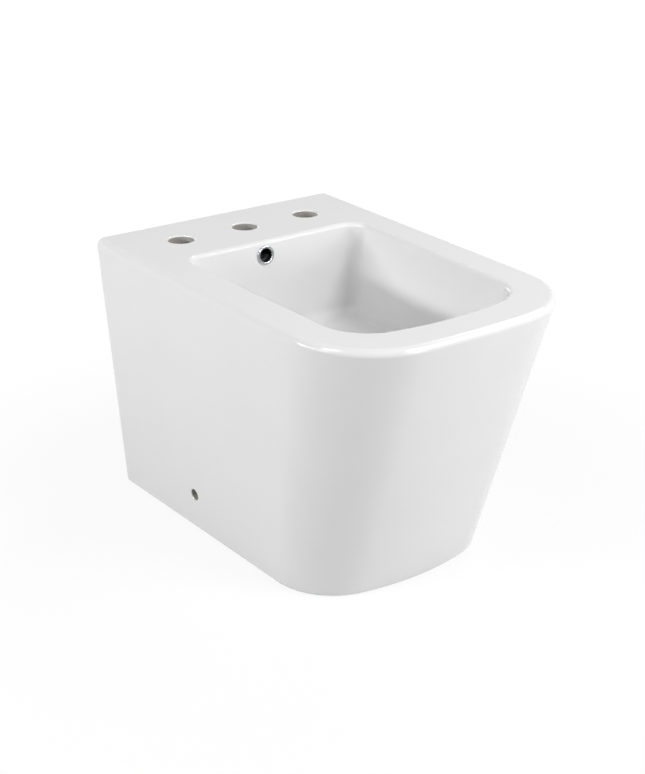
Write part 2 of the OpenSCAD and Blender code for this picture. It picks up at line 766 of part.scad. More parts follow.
// Right-hand floor bracket, its upright against the boss behind the side fixing hole
bracket_x = boss_face_x - bracket_gap;
module floor_bracket() {
    gusset_x = 2 * bracket_t - bracket_foot;
    difference() {
        translate([bracket_x, fixing_y, 0]) union() {
            translate([-bracket_t, -bracket_w / 2, 0]) cube([bracket_t, bracket_w, bracket_h]);
            translate([-bracket_foot, -bracket_w / 2, 0]) cube([bracket_foot, bracket_w, bracket_t]);
            for (side = [-1, 1]) translate([-bracket_t, side * (bracket_w - bracket_t) / 2, bracket_t])
                rotate([90, 0, 0]) linear_extrude(bracket_t, center = true)
                    polygon([[0, -past], [gusset_x, -past], [gusset_x, 0], [0, bracket_h - 3 * bracket_t]]);
        }
        translate([bracket_x - bracket_t - past, fixing_y, fixing_h]) rotate([0, 90, 0])
            cylinder(r = screw_hole_r, h = bracket_t + 2 * past);
        for (side = [-1, 1]) translate([floor_hole_x, fixing_y + side * floor_hole_gap / 2, -past])
            cylinder(r = floor_hole_r, h = bracket_t + 2 * past);
    }
}
floor_hole_x = bracket_x - bracket_foot / 2 - bracket_t / 2;

module floor_bracket_left() {
    color(nylon) mirror([1, 0, 0]) floor_bracket();
}

module floor_bracket_right() {
    color(nylon) floor_bracket();
}

ceramic_body();
overflow_ring();
waste_body();
flange_gasket();
tapered_gasket();
slip_washer();
backnut();
click_cartridge();
click_spring();
click_plunger();
plug_cap();
plug_seal();
trap_inlet_nut();
trap_inlet_washer();
trap_inlet_tube();
trap_top_nut();
trap_top_seal();
trap_body();
trap_cup();
trap_cup_seal();
trap_outlet_nut();
trap_outlet_seal();
trap_outlet_pipe();
floor_bracket_left();
floor_bracket_right();
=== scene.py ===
from math import acos, atan, cos, hypot, pi, radians, sin

import bmesh
import bpy
from mathutils import Matrix, Vector


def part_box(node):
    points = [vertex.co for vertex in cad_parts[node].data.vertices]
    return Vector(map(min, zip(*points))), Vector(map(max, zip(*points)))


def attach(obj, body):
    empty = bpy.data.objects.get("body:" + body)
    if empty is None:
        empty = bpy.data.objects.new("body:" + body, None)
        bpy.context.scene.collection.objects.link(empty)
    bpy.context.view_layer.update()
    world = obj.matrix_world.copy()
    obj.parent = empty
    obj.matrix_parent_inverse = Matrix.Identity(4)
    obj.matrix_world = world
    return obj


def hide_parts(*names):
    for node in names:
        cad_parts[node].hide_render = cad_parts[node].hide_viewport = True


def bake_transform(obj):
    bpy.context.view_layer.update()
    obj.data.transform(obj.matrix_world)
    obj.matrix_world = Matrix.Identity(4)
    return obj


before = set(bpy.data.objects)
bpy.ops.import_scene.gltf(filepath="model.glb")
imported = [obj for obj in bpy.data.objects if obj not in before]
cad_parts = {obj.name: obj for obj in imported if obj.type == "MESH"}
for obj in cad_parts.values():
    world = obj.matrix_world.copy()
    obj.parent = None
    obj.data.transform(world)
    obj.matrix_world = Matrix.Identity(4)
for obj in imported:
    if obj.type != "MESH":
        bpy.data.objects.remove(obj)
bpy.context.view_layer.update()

# The body: one piece of vitreous china, slip-cast in a plaster mould, sprayed with white glaze
# and fired. It stands on the floor against the wall, and its underside is open for the pipes.
# All its lengths are in millimetres, every outline is a ring seen from above, and a pair of values
# holds the size at the foot and the size at the rim.
MM = 0.001
china_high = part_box("ceramic_body")[1]
wall_y, rim_z = china_high.y / MM, china_high.z / MM
foot_depth, top_depth = 450.0, 553.0
rear_half, front_half = (165.0, 190.0), (146.0, 181.0)
corner_r, front_bow, rear_corner_r = (90.0, 116.0), (30.0, 14.0), 5.0
wall_thickness, deck_thickness, bowl_thickness = 12.0, 15.0, 11.0
top_edge, foot_edge, back_edge, hollow_edge = 10.0, 6.0, 2.0, 8.0
bowl_draft, bowl_edge, bowl_wall_depth, bowl_depth = 9.0, 6.0, 127.0, 135.0
bowl_foot_edge, bowl_rear_y = 16.0, wall_y - 133.0
drain_from_wall = 285.0
drain_y = wall_y - drain_from_wall
drain_z = rim_z - bowl_depth
seat_r, seat_z = 34.0, drain_z - 3.0
drain_hole_r, boss_r, boss_z = 23.0, 41.0, drain_z - 45.0
tap_hole_r, tap_hole_edge, tap_spacing, tap_y = 17.5, 2.2, 100.0, wall_y - 70.0
flat_margin = 1.5
GLAZED, BARE, CUT_SHADED = 0, 1, 2


def mix(a, b, t):
    """The number that lies at share t of the way from a to b."""
    return a + (b - a) * t


def half_outline(rear, front, y_rear, y_front, radius, bow, rear_radius):
    """Right half of an outline, from the middle of its bowed front to the middle of its rear."""
    lean = atan((rear - front) / (y_rear - y_front))

    def bow_angle(x):
        return atan(2 * bow * x / front ** 2)

    first = bow_angle(front - radius)
    reach = front - radius + radius * sin(first)
    drop = y_front + bow * (reach / front) ** 2 + radius * cos(first)
    centre_x = rear + ((drop - y_rear) * sin(lean) - radius) / cos(lean)
    start = bow_angle(centre_x + radius * sin(first))
    front_x = centre_x + radius * sin(start)
    centre_y = y_front + bow * (front_x / front) ** 2 + radius * cos(start)
    rear_x = rear - rear_radius * (1 + sin(lean)) / cos(lean)
    side_start = (centre_x + radius * cos(lean), centre_y + radius * sin(lean))
    side_end = (rear_x + rear_radius * cos(lean), y_rear - rear_radius - rear_radius * sin(lean))
    front_edge = [(x, y_front + bow * (x / front) ** 2) for x in (front_x * i / 16 for i in range(16))]
    front_corner = [(centre_x + radius * sin(turn), centre_y - radius * cos(turn))
                    for turn in (mix(start, pi / 2 - lean, i / 26) for i in range(26))]
    side = [tuple(mix(a, b, i / 10) for a, b in zip(side_start, side_end)) for i in range(10)]
    rear_corner = [(rear_x + rear_radius * cos(turn), y_rear - rear_radius + rear_radius * sin(turn))
                   for turn in (mix(-lean, pi / 2, i / 10) for i in range(11))]
    rear_edge = [(rear_x * (1 - i / 8), y_rear) for i in range(1, 9)]
    return front_edge + front_corner + side + rear_corner + rear_edge


def outline(plan, z):
    """The whole ring at height z, anticlockwise seen from above."""
    right = half_outline(*plan)
    left = [(-x, y) for x, y in right[-2:0:-1]]
    return [Vector((x, y, z)) for x, y in right + left]


def drawn_in(plan, inset, rear_inset=None):
    """The same plan, moved in on every side, or by another length at the rear."""
    rear, front, y_rear, y_front, radius, bow, rear_radius = plan
    back = inset if rear_inset is None else rear_inset
    return (rear - inset, front - inset, y_rear - back, y_front + inset, radius - inset, bow,
            max(rear_radius - inset, 0.5))


def body_plan(z):
    """The outside of the body at height z: it widens from its foot to its rim."""
    t = z / rim_z
    return (mix(*rear_half, t), mix(*front_half, t), wall_y, wall_y - mix(foot_depth, top_depth, t),
            mix(*corner_r, t), mix(*front_bow, t), rear_corner_r)


def rounded(a, corner, b, t):
    """A point of the arc that leaves a towards the corner and arrives at b."""
    spread = (a - corner).normalized().dot((b - corner).normalized())
    weight = 2 * sin(acos(max(-1, min(1, spread))) / 2) * t * (1 - t)
    p, q = (1 - t) ** 2, t * t
    return (p * a + weight * corner + q * b) / (p + weight + q)


def arc_rings(a, corner, b, steps):
    """Rings of a rounding between two skins that meet along a ring of corners."""
    return [[rounded(*three, k / steps) for three in zip(a, corner, b)] for k in range(steps + 1)]


def towards(ring, target, length):
    """A ring moved by a length towards the points of another."""
    return [p + (q - p).normalized() * length for p, q in zip(ring, target)]


def steps_between(low, high, count):
    """Rings that lead in even steps from one ring to another, the first one left out."""
    return [[a.lerp(b, k / count) for a, b in zip(low, high)] for k in range(1, count + 1)]


def start_ring(bm, points):
    """A closed ring of vertices and edges to grow a skin from."""
    ring = [bm.verts.new(p) for p in points]
    for a, b in zip(ring, ring[1:] + ring[:1]):
        bm.edges.new((a, b))
    return ring


def ring_edges(bm, ring):
    """The edges that join a closed ring of vertices."""
    return [bm.edges.get((a, b)) for a, b in zip(ring, ring[1:] + ring[:1])]


def grow(bm, ring, rings, finish=GLAZED):
    """Extrudes a ring through the rings of points that follow it, and returns the last one."""
    for points in rings:
        made = bmesh.ops.extrude_edge_only(bm, edges=ring_edges(bm, ring))["geom"]
        fresh = {v for v in made if isinstance(v, bmesh.types.BMVert)}
        for face in (f for f in made if isinstance(f, bmesh.types.BMFace)):
            face.material_index = finish
        ring = [next(e.other_vert(v) for e in v.link_edges if e.other_vert(v) in fresh) for v in ring]
        for vertex, point in zip(ring, points):
            vertex.co = point
    return ring


def fill_between(bm, rings, finish=GLAZED):
    """Closes a flat face that has several rings as its edges."""
    edges = [e for ring in rings for e in ring_edges(bm, ring)]
    made = bmesh.ops.triangle_fill(bm, edges=edges, use_beauty=True, use_dissolve=False, normal=(0, 0, 1))
    for face in (f for f in made["geom"] if isinstance(f, bmesh.types.BMFace)):
        face.material_index = finish


def tap_ring(x, z, radius, steps=72):
    """A circle round a tap hole."""
    return [Vector((x + radius * cos(2 * pi * i / steps), tap_y + radius * sin(2 * pi * i / steps), z))
            for i in range(steps)]


def drain_rings(ring, *sizes):
    """Circles round the waste, of given heights and radii, with a point towards each one of the ring."""
    return [[Vector((0, drain_y, z)) + Vector((p.x, p.y - drain_y, 0)).normalized() * radius for p in ring]
            for z, radius in sizes]


def bowl_floor(foot_ring, drain_ring, steps=14):
    """Rings from the foot of the bowl's walls to the waste that grow rounder on their way down."""
    rings = []
    centre = Vector((0, drain_y, 0))
    reach = [(Vector((p.x, p.y, 0)) - centre).length for p in foot_ring]
    mean = sum(reach) / len(reach)
    for k in range(1, steps + 1):
        t = k / steps
        rounder = 0.75 * t * (1 - t) * 2
        ring = []
        for p, q, r in zip(foot_ring, drain_ring, reach):
            flat = Vector((q.x, q.y, 0)) - centre
            straight = mix(r, flat.length, t)
            evened = mix(mean, flat.length, t)
            length = mix(straight, evened, rounder * t)
            point = centre + flat.normalized() * length
            ring.append(Vector((point.x, point.y, mix(p.z, q.z, t))))
        rings.append(ring)
    return rings


def round_edges(bm, edges, radius, segments=4, clamped=False):
    """Rounds the sharp edges of a piece that is still a bmesh."""
    bmesh.ops.bevel(bm, geom=edges, offset=radius, offset_type="OFFSET", affect="EDGES",
                    segments=segments, profile=0.5, material=-1, clamp_overlap=clamped)


def to_object(name, bm):
    """Turns a bmesh in millimetres into an object in the scene, with smooth faces."""
    bmesh.ops.scale(bm, vec=(MM,) * 3, verts=bm.verts)
    for face in bm.faces:
        face.smooth = True
    mesh = bpy.data.meshes.new(name)
    bm.to_mesh(mesh)
    bm.free()
    piece = bpy.data.objects.new(name, mesh)
    bpy.context.scene.collection.objects.link(piece)
    return piece


def settle(piece):
    """Applies the piece's modifiers and keeps its edges crisp where they turn by 35 degrees or more."""
    depsgraph = bpy.context.evaluated_depsgraph_get()
    mesh = bpy.data.meshes.new_from_object(piece.evaluated_get(depsgraph))
    piece.modifiers.clear()
    bm = bmesh.new()
    bm.from_mesh(mesh)
    bmesh.ops.remove_doubles(bm, verts=bm.verts, dist=1e-6)
    bmesh.ops.dissolve_degenerate(bm, edges=bm.edges, dist=1e-6)
    for edge in bm.edges:
        edge.smooth = not edge.is_manifold or edge.calc_face_angle() < radians(35)
    for face in bm.faces:
        face.smooth = True
    bm.to_mesh(mesh)
    bm.free()
    piece.data = mesh
    return piece


def boolean(piece, tools, operation="DIFFERENCE"):
    """Cuts the tools out of the piece, or joins them to it, and removes them."""
    for tool in tools:
        cut = piece.modifiers.new("cut", "BOOLEAN")
        cut.object = tool
        cut.operation = operation
        cut.solver = "EXACT"
    bpy.context.view_layer.update()
    settle(piece)
    for tool in tools:
        bpy.data.objects.remove(tool)
    return piece


def weigh_normals(piece):
    """Lets the large flat faces keep their own direction beside the small rounded ones."""
    weighted = piece.modifiers.new("flat faces", "WEIGHTED_NORMAL")
    weighted.keep_sharp = True
    weighted.weight = 80
    return piece


def spun(name, profile, place, steps=96, closed=True, soften=0.0):
    """A turned piece: a profile of (radius, height) points spun round the z axis and put in place."""
    bm = bmesh.new()
    points = [bm.verts.new((r, 0, z)) for r, z in profile]
    lines = [bm.edges.new(pair) for pair in zip(points, points[1:] + (points[:1] if closed else []))]
    bmesh.ops.spin(bm, geom=points + lines, cent=(0, 0, 0), axis=(0, 0, 1), angle=2 * pi, steps=steps,
                   use_merge=True)
    bmesh.ops.remove_doubles(bm, verts=bm.verts, dist=1e-4)
    bmesh.ops.dissolve_degenerate(bm, edges=bm.edges, dist=1e-4)
    bmesh.ops.recalc_face_normals(bm, faces=bm.faces)
    if soften:
        hard = [e for e in bm.edges if e.is_manifold and e.calc_face_angle() > radians(28)]
        round_edges(bm, hard, soften, 3, clamped=True)
    bmesh.ops.transform(bm, matrix=place, verts=bm.verts)
    return weigh_normals(to_object(name, bm))


def rod(name, radius, low, high, place, steps=64):
    """A plain round cutter that reaches from one height to another."""
    return spun(name, [(0, low), (radius, low), (radius, high), (0, high)], place, steps, closed=False)


# The skin starts at the foot of the hollow and goes out over the foot and up the walls to the deck.
skin = bmesh.new()
foot, top = outline(body_plan(0), 0), outline(body_plan(rim_z), rim_z)
foot_inner = outline(drawn_in(body_plan(0), foot_edge, back_edge), 0)
top_inner = outline(drawn_in(body_plan(rim_z), top_edge, back_edge), rim_z)
wall_low, wall_high = towards(foot, top, foot_edge), towards(top, foot, top_edge)
hollow_foot = outline(drawn_in(body_plan(0), wall_thickness), 0)
hollow_z = rim_z - deck_thickness
hollow_top = outline(drawn_in(body_plan(hollow_z), wall_thickness), hollow_z)
hollow_top_inner = outline(drawn_in(body_plan(hollow_z), wall_thickness + hollow_edge), hollow_z)
top_flat = outline(drawn_in(body_plan(rim_z), top_edge + flat_margin, back_edge + flat_margin), rim_z)

inner_ring = start_ring(skin, hollow_foot)
outer_ring = grow(skin, inner_ring, [foot_inner], BARE)
outer_ring = grow(skin, outer_ring, arc_rings(foot_inner, foot, wall_low, 8)[1:]
                  + steps_between(wall_low, wall_high, 6)
                  + arc_rings(wall_high, top, top_inner, 12)[1:] + [top_flat])
hollow_arc = arc_rings(towards(hollow_top, hollow_foot, hollow_edge), hollow_top, hollow_top_inner, 4)
under_ring = grow(skin, inner_ring, hollow_arc, BARE)

# The bowl starts at its mouth in the deck, goes down to the waste and comes back up on its outside.
bowl_rear_half, bowl_front_half, bowl_front_y = 143.0, 134.0, wall_y - 503.0
bowl_corner_r, bowl_bow, bowl_rear_corner_r = 66.0, 20.0, 30.0
bowl_plan = (bowl_rear_half, bowl_front_half, bowl_rear_y, bowl_front_y, bowl_corner_r, bowl_bow,
             bowl_rear_corner_r)
bowl_foot_z = rim_z - bowl_wall_depth


def bowl_rings(grown=0.0):
    """Edge and foot of the bowl's walls, grown outwards for the outside of the walls."""
    edge = outline(drawn_in(bowl_plan, bowl_edge - grown), rim_z)
    foot_ring = outline(drawn_in(bowl_plan, bowl_edge + bowl_draft - grown), bowl_foot_z - grown)
    return edge, foot_ring


edge, bowl_foot = bowl_rings()
mouth = outline(bowl_plan, rim_z)
mouth_flat = outline(drawn_in(bowl_plan, -flat_margin), rim_z)
drain_flat = drain_rings(bowl_foot, (drain_z, seat_r + 4))[0]
wall_top, wall_foot = towards(edge, bowl_foot, bowl_edge), towards(bowl_foot, edge, bowl_foot_edge)
floor_edge = towards(bowl_foot, drain_flat, bowl_foot_edge)
mouth_ring = start_ring(skin, mouth_flat)
bowl_ring = grow(skin, mouth_ring, arc_rings(mouth, edge, wall_top, 10)
                 + steps_between(wall_top, wall_foot, 5)
                 + arc_rings(wall_foot, bowl_foot, floor_edge, 16)[1:] + bowl_floor(floor_edge, drain_flat)
                 + drain_rings(bowl_foot, (drain_z, seat_r + 1.4), (drain_z - 0.3, seat_r + 0.5),
                               (drain_z - 0.8, seat_r + 0.1), (drain_z - 1.6, seat_r), (seat_z, seat_r),
                               (seat_z, drain_hole_r), (boss_z, drain_hole_r)))
shell_edge, shell_foot = bowl_rings(bowl_thickness)
under_floor_z = drain_z - bowl_thickness
shell_drain = drain_rings(bowl_foot, (under_floor_z, boss_r + 8))[0]
shell_floor = towards(shell_foot, shell_drain, bowl_foot_edge)
shell_wall = towards(shell_foot, shell_edge, bowl_foot_edge)
slope = (shell_edge[0].z - hollow_z) / (shell_edge[0].z - shell_foot[0].z)
shell_top = [a.lerp(b, slope) for a, b in zip(shell_edge, shell_foot)]
bowl_ring = grow(skin, bowl_ring, drain_rings(bowl_foot, (boss_z, boss_r - 2), (boss_z + 2, boss_r),
                                              (under_floor_z - 2, boss_r)) + [shell_drain]
                 + bowl_floor(shell_floor, shell_drain, 6)[-2::-1] + [shell_floor]
                 + arc_rings(shell_floor, shell_foot, shell_wall, 8)[1:] + [shell_top], BARE)

# The tap holes have a glazed, rounded edge and a bare bore, whose darker grey is painted shade, and the
# deck joins all of them.
deck_rings, deck_under_rings = [outer_ring, mouth_ring], [under_ring, bowl_ring]
for x in (-tap_spacing, 0, tap_spacing):
    ring = start_ring(skin, tap_ring(x, rim_z, tap_hole_r + tap_hole_edge + flat_margin))
    deck_rings.append(ring)
    ring = grow(skin, ring, [tap_ring(x, rim_z - tap_hole_edge * (1 - cos(turn)),
                                      tap_hole_r + tap_hole_edge * (1 - sin(turn)))
                             for turn in (pi / 2 * k / 8 for k in range(9))])
    deck_under_rings.append(grow(skin, ring, [tap_ring(x, hollow_z, tap_hole_r)], CUT_SHADED))
fill_between(skin, deck_rings)
fill_between(skin, deck_under_rings, BARE)
bmesh.ops.recalc_face_normals(skin, faces=skin.faces)
china = to_object("china_body", skin)

# Cut in the clay before firing: the overflow hole high in the bowl's rear wall, a fixing hole low in
# each side with its edge rubbed round, and the arched opening in the back that the pipes pass.
overflow_x, overflow_drop, overflow_r = -14.0, 19.5, 10.5
overflow_lean = atan(bowl_draft / bowl_wall_depth)
overflow_y = bowl_rear_y - bowl_edge - bowl_draft * overflow_drop / bowl_wall_depth
overflow_z = rim_z - overflow_drop
at_overflow = (Matrix.Translation((overflow_x, overflow_y, overflow_z))
               @ Matrix.Rotation(pi / 2 - overflow_lean, 4, "X"))
overflow_hole = rod("overflow_hole", overflow_r, -15, 10, at_overflow)
fixing_y, fixing_z, fixing_r, fixing_edge = wall_y - 184.0, 54.0, 8.0, 1.6
side_thickness, boss_face = 17.0, 144.757
fixing_face = boss_face + side_thickness
side_lean = atan((rear_half[1] - rear_half[0]) / rim_z)


def fixing_hole(side):
    """A round cutter with a flared mouth, square to the side wall."""
    flare = [(fixing_r + fixing_edge * (1 - sin(turn)), 0.2 - fixing_edge * (1 - cos(turn)))
             for turn in (pi / 2 * k / 6 for k in range(7))]
    profile = [(0, -30), (fixing_r, -30)] + flare[::-1] + [(fixing_r + fixing_edge, 4), (0, 4)]
    place = (Matrix.Translation((side * fixing_face, fixing_y, fixing_z))
             @ Matrix.Rotation(side * (pi / 2 + side_lean), 4, "Y"))
    return spun("fixing_hole", profile, place, 64, closed=False)


def back_cutter():
    """A block with its two upper edges rounded, through the whole back wall."""
    width, height, radius = 236.0, 250.0, 40.0
    bm = bmesh.new()
    bmesh.ops.create_cube(bm, size=1)
    bmesh.ops.scale(bm, vec=(width, 60, height + 20), verts=bm.verts)
    bmesh.ops.translate(bm, vec=(0, wall_y + 10, height / 2 - 10), verts=bm.verts)
    upper = [e for e in bm.edges if all(v.co.z > height - 1 for v in e.verts)
             and abs(e.verts[0].co.x - e.verts[1].co.x) < 1]
    round_edges(bm, upper, radius, 16)
    return to_object("back_cutter", bm)


boolean(china, [overflow_hole, fixing_hole(-1), fixing_hole(1), back_cutter()])

# The bores of the fixing holes show the cut clay, in the darker grey that paints the shade inside them.
for face in china.data.polygons:
    off_axis = hypot(face.center.y / MM - fixing_y, face.center.z / MM - fixing_z)
    in_side_wall = abs(face.center.x) / MM > boss_face + 0.2
    if off_axis < fixing_r + 1 and in_side_wall and abs(face.normal.x) < 0.15:
        face.material_index = CUT_SHADED
weigh_normals(china)


def linear(hex_colour):
    """An sRGB colour such as #e8e8e6 as the linear numbers that a shader takes."""
    channels = [int(hex_colour[i:i + 2], 16) / 255 for i in (1, 3, 5)]
    return [c / 12.92 if c <= 0.04045 else ((c + 0.055) / 1.055) ** 2.4 for c in channels] + [1.0]


def add(material, kind, values=None, links=None, **settings):
    """Adds a node with its settings, the values of its sockets and the nodes or outputs that feed them."""
    tree = material.node_tree
    node = tree.nodes.new("ShaderNode" + kind)
    for name, value in settings.items():
        setattr(node, name, value)
    for socket, value in (values or {}).items():
        node.inputs[socket].default_value = value
    for socket, source in (links or {}).items():
        output = source.outputs[0] if isinstance(source, bpy.types.Node) else source
        tree.links.new(output, node.inputs[socket])
    return node


def new_material(name):
    """An empty material, and the output that gives a place on its piece in metres."""
    material = bpy.data.materials.new(name)
    material.use_nodes = True
    material.node_tree.nodes.clear()
    return material, add(material, "TexCoord").outputs["Object"]


# Glazed vitreous china: opaque white glass that flowed nearly flat in the kiln. It gives the eye crisp
# reflections with a faint slow ripple (45 mm) and orange peel (7 mm), and a tone that drifts very little.
glazed_china, place = new_material("glazed_vitreous_china")
drift = add(glazed_china, "TexNoise", {"Scale": 1 / (90 * MM), "Detail": 1.0}, {"Vector": place})
tone = add(glazed_china, "Mix", {6: linear("#eaeaea"), 7: linear("#e7e7e7")}, {0: drift}, data_type="RGBA")
gloss = add(glazed_china, "MapRange", {"To Min": 0.04, "To Max": 0.08}, {"Value": drift})
ripple = add(glazed_china, "TexNoise", {"Scale": 1 / (45 * MM), "Detail": 0.0}, {"Vector": place})
slow = add(glazed_china, "Bump", {"Distance": 0.04 * MM, "Strength": 0.5}, {"Height": ripple})
peel = add(glazed_china, "TexNoise", {"Scale": 1 / (7 * MM), "Detail": 1.0}, {"Vector": place})
fine = add(glazed_china, "Bump", {"Distance": 0.004 * MM, "Strength": 0.4},
           {"Height": peel, "Normal": slow})
shader = add(glazed_china, "BsdfPrincipled", {"IOR": 1.52},
             {"Base Color": tone.outputs[2], "Roughness": gloss, "Normal": fine})
add(glazed_china, "OutputMaterial", links={"Surface": shader})

# Bare vitreous china, as the kiln leaves it where no glaze was sprayed: dull and a little creamy, with
# the fine tooth of the plaster mould (1.2 mm) and low waves from the drained slip (14 mm).
bare_china, place = new_material("bare_vitreous_china")
overspray = add(bare_china, "TexNoise", {"Scale": 1 / (60 * MM), "Detail": 3.0}, {"Vector": place})
tone = add(bare_china, "Mix", {6: linear("#e4e2dc"), 7: linear("#d6d2c8")}, {0: overspray},
           data_type="RGBA")
dull = add(bare_china, "MapRange", {"To Min": 0.45, "To Max": 0.75}, {"Value": overspray})
waves = add(bare_china, "TexNoise", {"Scale": 1 / (14 * MM), "Detail": 2.0}, {"Vector": place})
low = add(bare_china, "Bump", {"Distance": 0.15 * MM, "Strength": 0.4}, {"Height": waves})
tooth = add(bare_china, "TexNoise", {"Scale": 1 / (1.2 * MM), "Detail": 2.0}, {"Vector": place})
fine = add(bare_china, "Bump", {"Distance": 0.04 * MM, "Strength": 0.5},
           {"Height": tooth, "Normal": low})
shader = add(bare_china, "BsdfPrincipled", {"IOR": 1.5},
             {"Base Color": tone.outputs[2], "Roughness": dull, "Normal": fine})
add(bare_china, "OutputMaterial", links={"Surface": shader})

# Cut china, inside the tap holes and the fixing holes: clay scraped bare when the holes were punched and so
# left without glaze, with drag marks (2 mm) of the punch. Its grey is painted shade: darker than the clay,
# to stand for the shade deep in the holes.
cut_china_shaded, place = new_material("cut_vitreous_china_painted_shade")
clay = add(cut_china_shaded, "TexNoise", {"Scale": 1 / (4 * MM), "Detail": 3.0}, {"Vector": place})
tone = add(cut_china_shaded, "Mix", {6: linear("#b2b0ac"), 7: linear("#a4a29d")}, {0: clay}, data_type="RGBA")
drag = add(cut_china_shaded, "TexNoise", {"Scale": 1 / (2 * MM), "Detail": 2.0}, {"Vector": place})
scraped = add(cut_china_shaded, "Bump", {"Distance": 0.08 * MM, "Strength": 0.5}, {"Height": drag})
shader = add(cut_china_shaded, "BsdfPrincipled", {"Roughness": 0.7, "IOR": 1.5},
             {"Base Color": tone.outputs[2], "Normal": scraped})
add(cut_china_shaded, "OutputMaterial", links={"Surface": shader})

for finish in (glazed_china, bare_china, cut_china_shaded):
    china.data.materials.append(finish)
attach(china, "bidet")
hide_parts("ceramic_body")

# Inside the body, stuck on with slip before firing: the overflow duct that runs down behind the bowl
# to the waste, and the two bosses that the side screws' brackets bear on.
half_duct, duct_wall, duct_depth = 11.0, 8.0, 14.0
duct_y = overflow_y + bowl_thickness - 1
duct_foot_z, duct_top_z = seat_z - 25.0, overflow_z + overflow_r
gallery_reach, leg_height, gallery_height = 31.0, 22.0, 13.0


def block(name, low, high, soften=0.0, place=Matrix()):
    """A block between two corners, with its edges rounded where asked, put in place."""
    bm = bmesh.new()
    bmesh.ops.create_cube(bm, size=1)
    size = Vector(high) - Vector(low)
    bmesh.ops.scale(bm, vec=size, verts=bm.verts)
    bmesh.ops.translate(bm, vec=(Vector(low) + Vector(high)) / 2, verts=bm.verts)
    if soften:
        round_edges(bm, list(bm.edges), soften)
    bmesh.ops.transform(bm, matrix=place, verts=bm.verts)
    return to_object(name, bm)


def leg_end(x, y, height):
    """The four corners of one end of the duct's leg, round a way of a given height."""
    low, high = duct_foot_z - duct_wall, duct_foot_z + height + duct_wall
    return [Vector((x + side * (half_duct + duct_wall), y, z))
            for side, z in ((-1, low), (1, low), (1, high), (-1, high))]


def duct_leg():
    """The sloping leg under the bowl's floor, from the upright duct to the boss round the waste."""
    bm = bmesh.new()
    far = start_ring(bm, leg_end(overflow_x, duct_y + duct_depth, leg_height))
    near = grow(bm, far, [leg_end(0, drain_y + gallery_reach, gallery_height)])
    for end in (far, near):
        bm.faces.new(end)
    bmesh.ops.recalc_face_normals(bm, faces=bm.faces)
    round_edges(bm, [e for e in bm.edges if abs(e.verts[0].co.y - e.verts[1].co.y) > 20], 5)
    return to_object("duct_leg", bm)


duct = block("china_overflow_duct",
             (overflow_x - half_duct - duct_wall, duct_y - duct_wall, duct_foot_z - duct_wall),
             (overflow_x + half_duct + duct_wall, duct_y + duct_depth + duct_wall, duct_top_z + duct_wall),
             5.0)
duct_hollow = block("duct_hollow", (overflow_x - half_duct, duct_y, duct_foot_z),
                    (overflow_x + half_duct, duct_y + duct_depth, duct_top_z), 3.0)
boolean(duct, [duct_hollow, rod("duct_mouth", overflow_r, -18, 10, at_overflow)])
boolean(duct, [duct_leg()], "UNION")
weigh_normals(duct)


def side_boss(side):
    """A round pad inside the side wall, with the screw's hole through it."""
    place = (Matrix.Translation((side * boss_face, fixing_y, fixing_z))
             @ Matrix.Rotation(side * pi / 2, 4, "Y"))
    pad = spun("china_boss_" + ("left" if side < 0 else "right"),
               [(0, 0), (15, 0), (16.4, 0.6), (17, 2), (17, 9), (0, 9)], place, 64, closed=False)
    return weigh_normals(boolean(pad, [fixing_hole(side)]))


def dress(piece, material, body, node):
    """Gives a piece its material, sets it on the body it rides on and hides the part of the model that it
    takes the place of.
    """
    piece.data.materials.append(material)
    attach(piece, body)
    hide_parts(node)


for piece in (duct, side_boss(-1), side_boss(1)):
    dress(piece, bare_china, "bidet", "ceramic_body")

# The overflow trim: a brass ring, turned, polished and chromed, pressed on a black moulded elbow. The
# elbow's collar grips the hole in the china, and its open underside leads the water into the duct.
ring_outer, ring_inner, elbow_bore, clip_length, elbow_depth = 13.0, 9.1, 8.4, 13.0, 20.0
seat_gap = 0.05


def arc(r, z, radius_r, radius_z, start, end, steps):
    """Points of a quarter or other stretch of an ellipse, for a turned profile; angles in degrees."""
    return [(r + radius_r * cos(radians(mix(start, end, i / steps))),
             z + radius_z * sin(radians(mix(start, end, i / steps)))) for i in range(steps + 1)]


# Chrome plate over turned and buffed brass: mirror-bright and faintly blue, with a very slight wave
# (6 mm) and hazier patches (8 mm) that the buffing wheel left.
chrome, place = new_material("chrome_plated_brass")
haze = add(chrome, "TexNoise", {"Scale": 1 / (8 * MM), "Detail": 3.0}, {"Vector": place})
tone = add(chrome, "Mix", {6: linear("#c8cacc"), 7: linear("#bfc1c4")}, {0: haze}, data_type="RGBA")
polish = add(chrome, "MapRange", {"To Min": 0.04, "To Max": 0.1}, {"Value": haze})
wave = add(chrome, "TexNoise", {"Scale": 1 / (6 * MM), "Detail": 0.0}, {"Vector": place})
buffed = add(chrome, "Bump", {"Distance": 0.01 * MM, "Strength": 0.3}, {"Height": wave})
shader = add(chrome, "BsdfPrincipled", {"Metallic": 1.0},
             {"Base Color": tone.outputs[2], "Roughness": polish, "Normal": buffed})
add(chrome, "OutputMaterial", links={"Surface": shader})

# Black polypropylene, moulded: nearly black, with a soft sheen and the mould's fine spark grain (0.8 mm).
black_plastic, place = new_material("black_polypropylene")
flow = add(black_plastic, "TexNoise", {"Scale": 1 / (10 * MM), "Detail": 2.0}, {"Vector": place})
tone = add(black_plastic, "Mix", {6: linear("#0d0d0e"), 7: linear("#121212")}, {0: flow}, data_type="RGBA")
grain = add(black_plastic, "TexNoise", {"Scale": 1 / (0.8 * MM), "Detail": 1.0}, {"Vector": place})
spark = add(black_plastic, "Bump", {"Distance": 0.01 * MM, "Strength": 0.3}, {"Height": grain})
shader = add(black_plastic, "BsdfPrincipled", {"Roughness": 0.5, "IOR": 1.49},
             {"Base Color": tone.outputs[2], "Normal": spark})
add(black_plastic, "OutputMaterial", links={"Surface": shader})

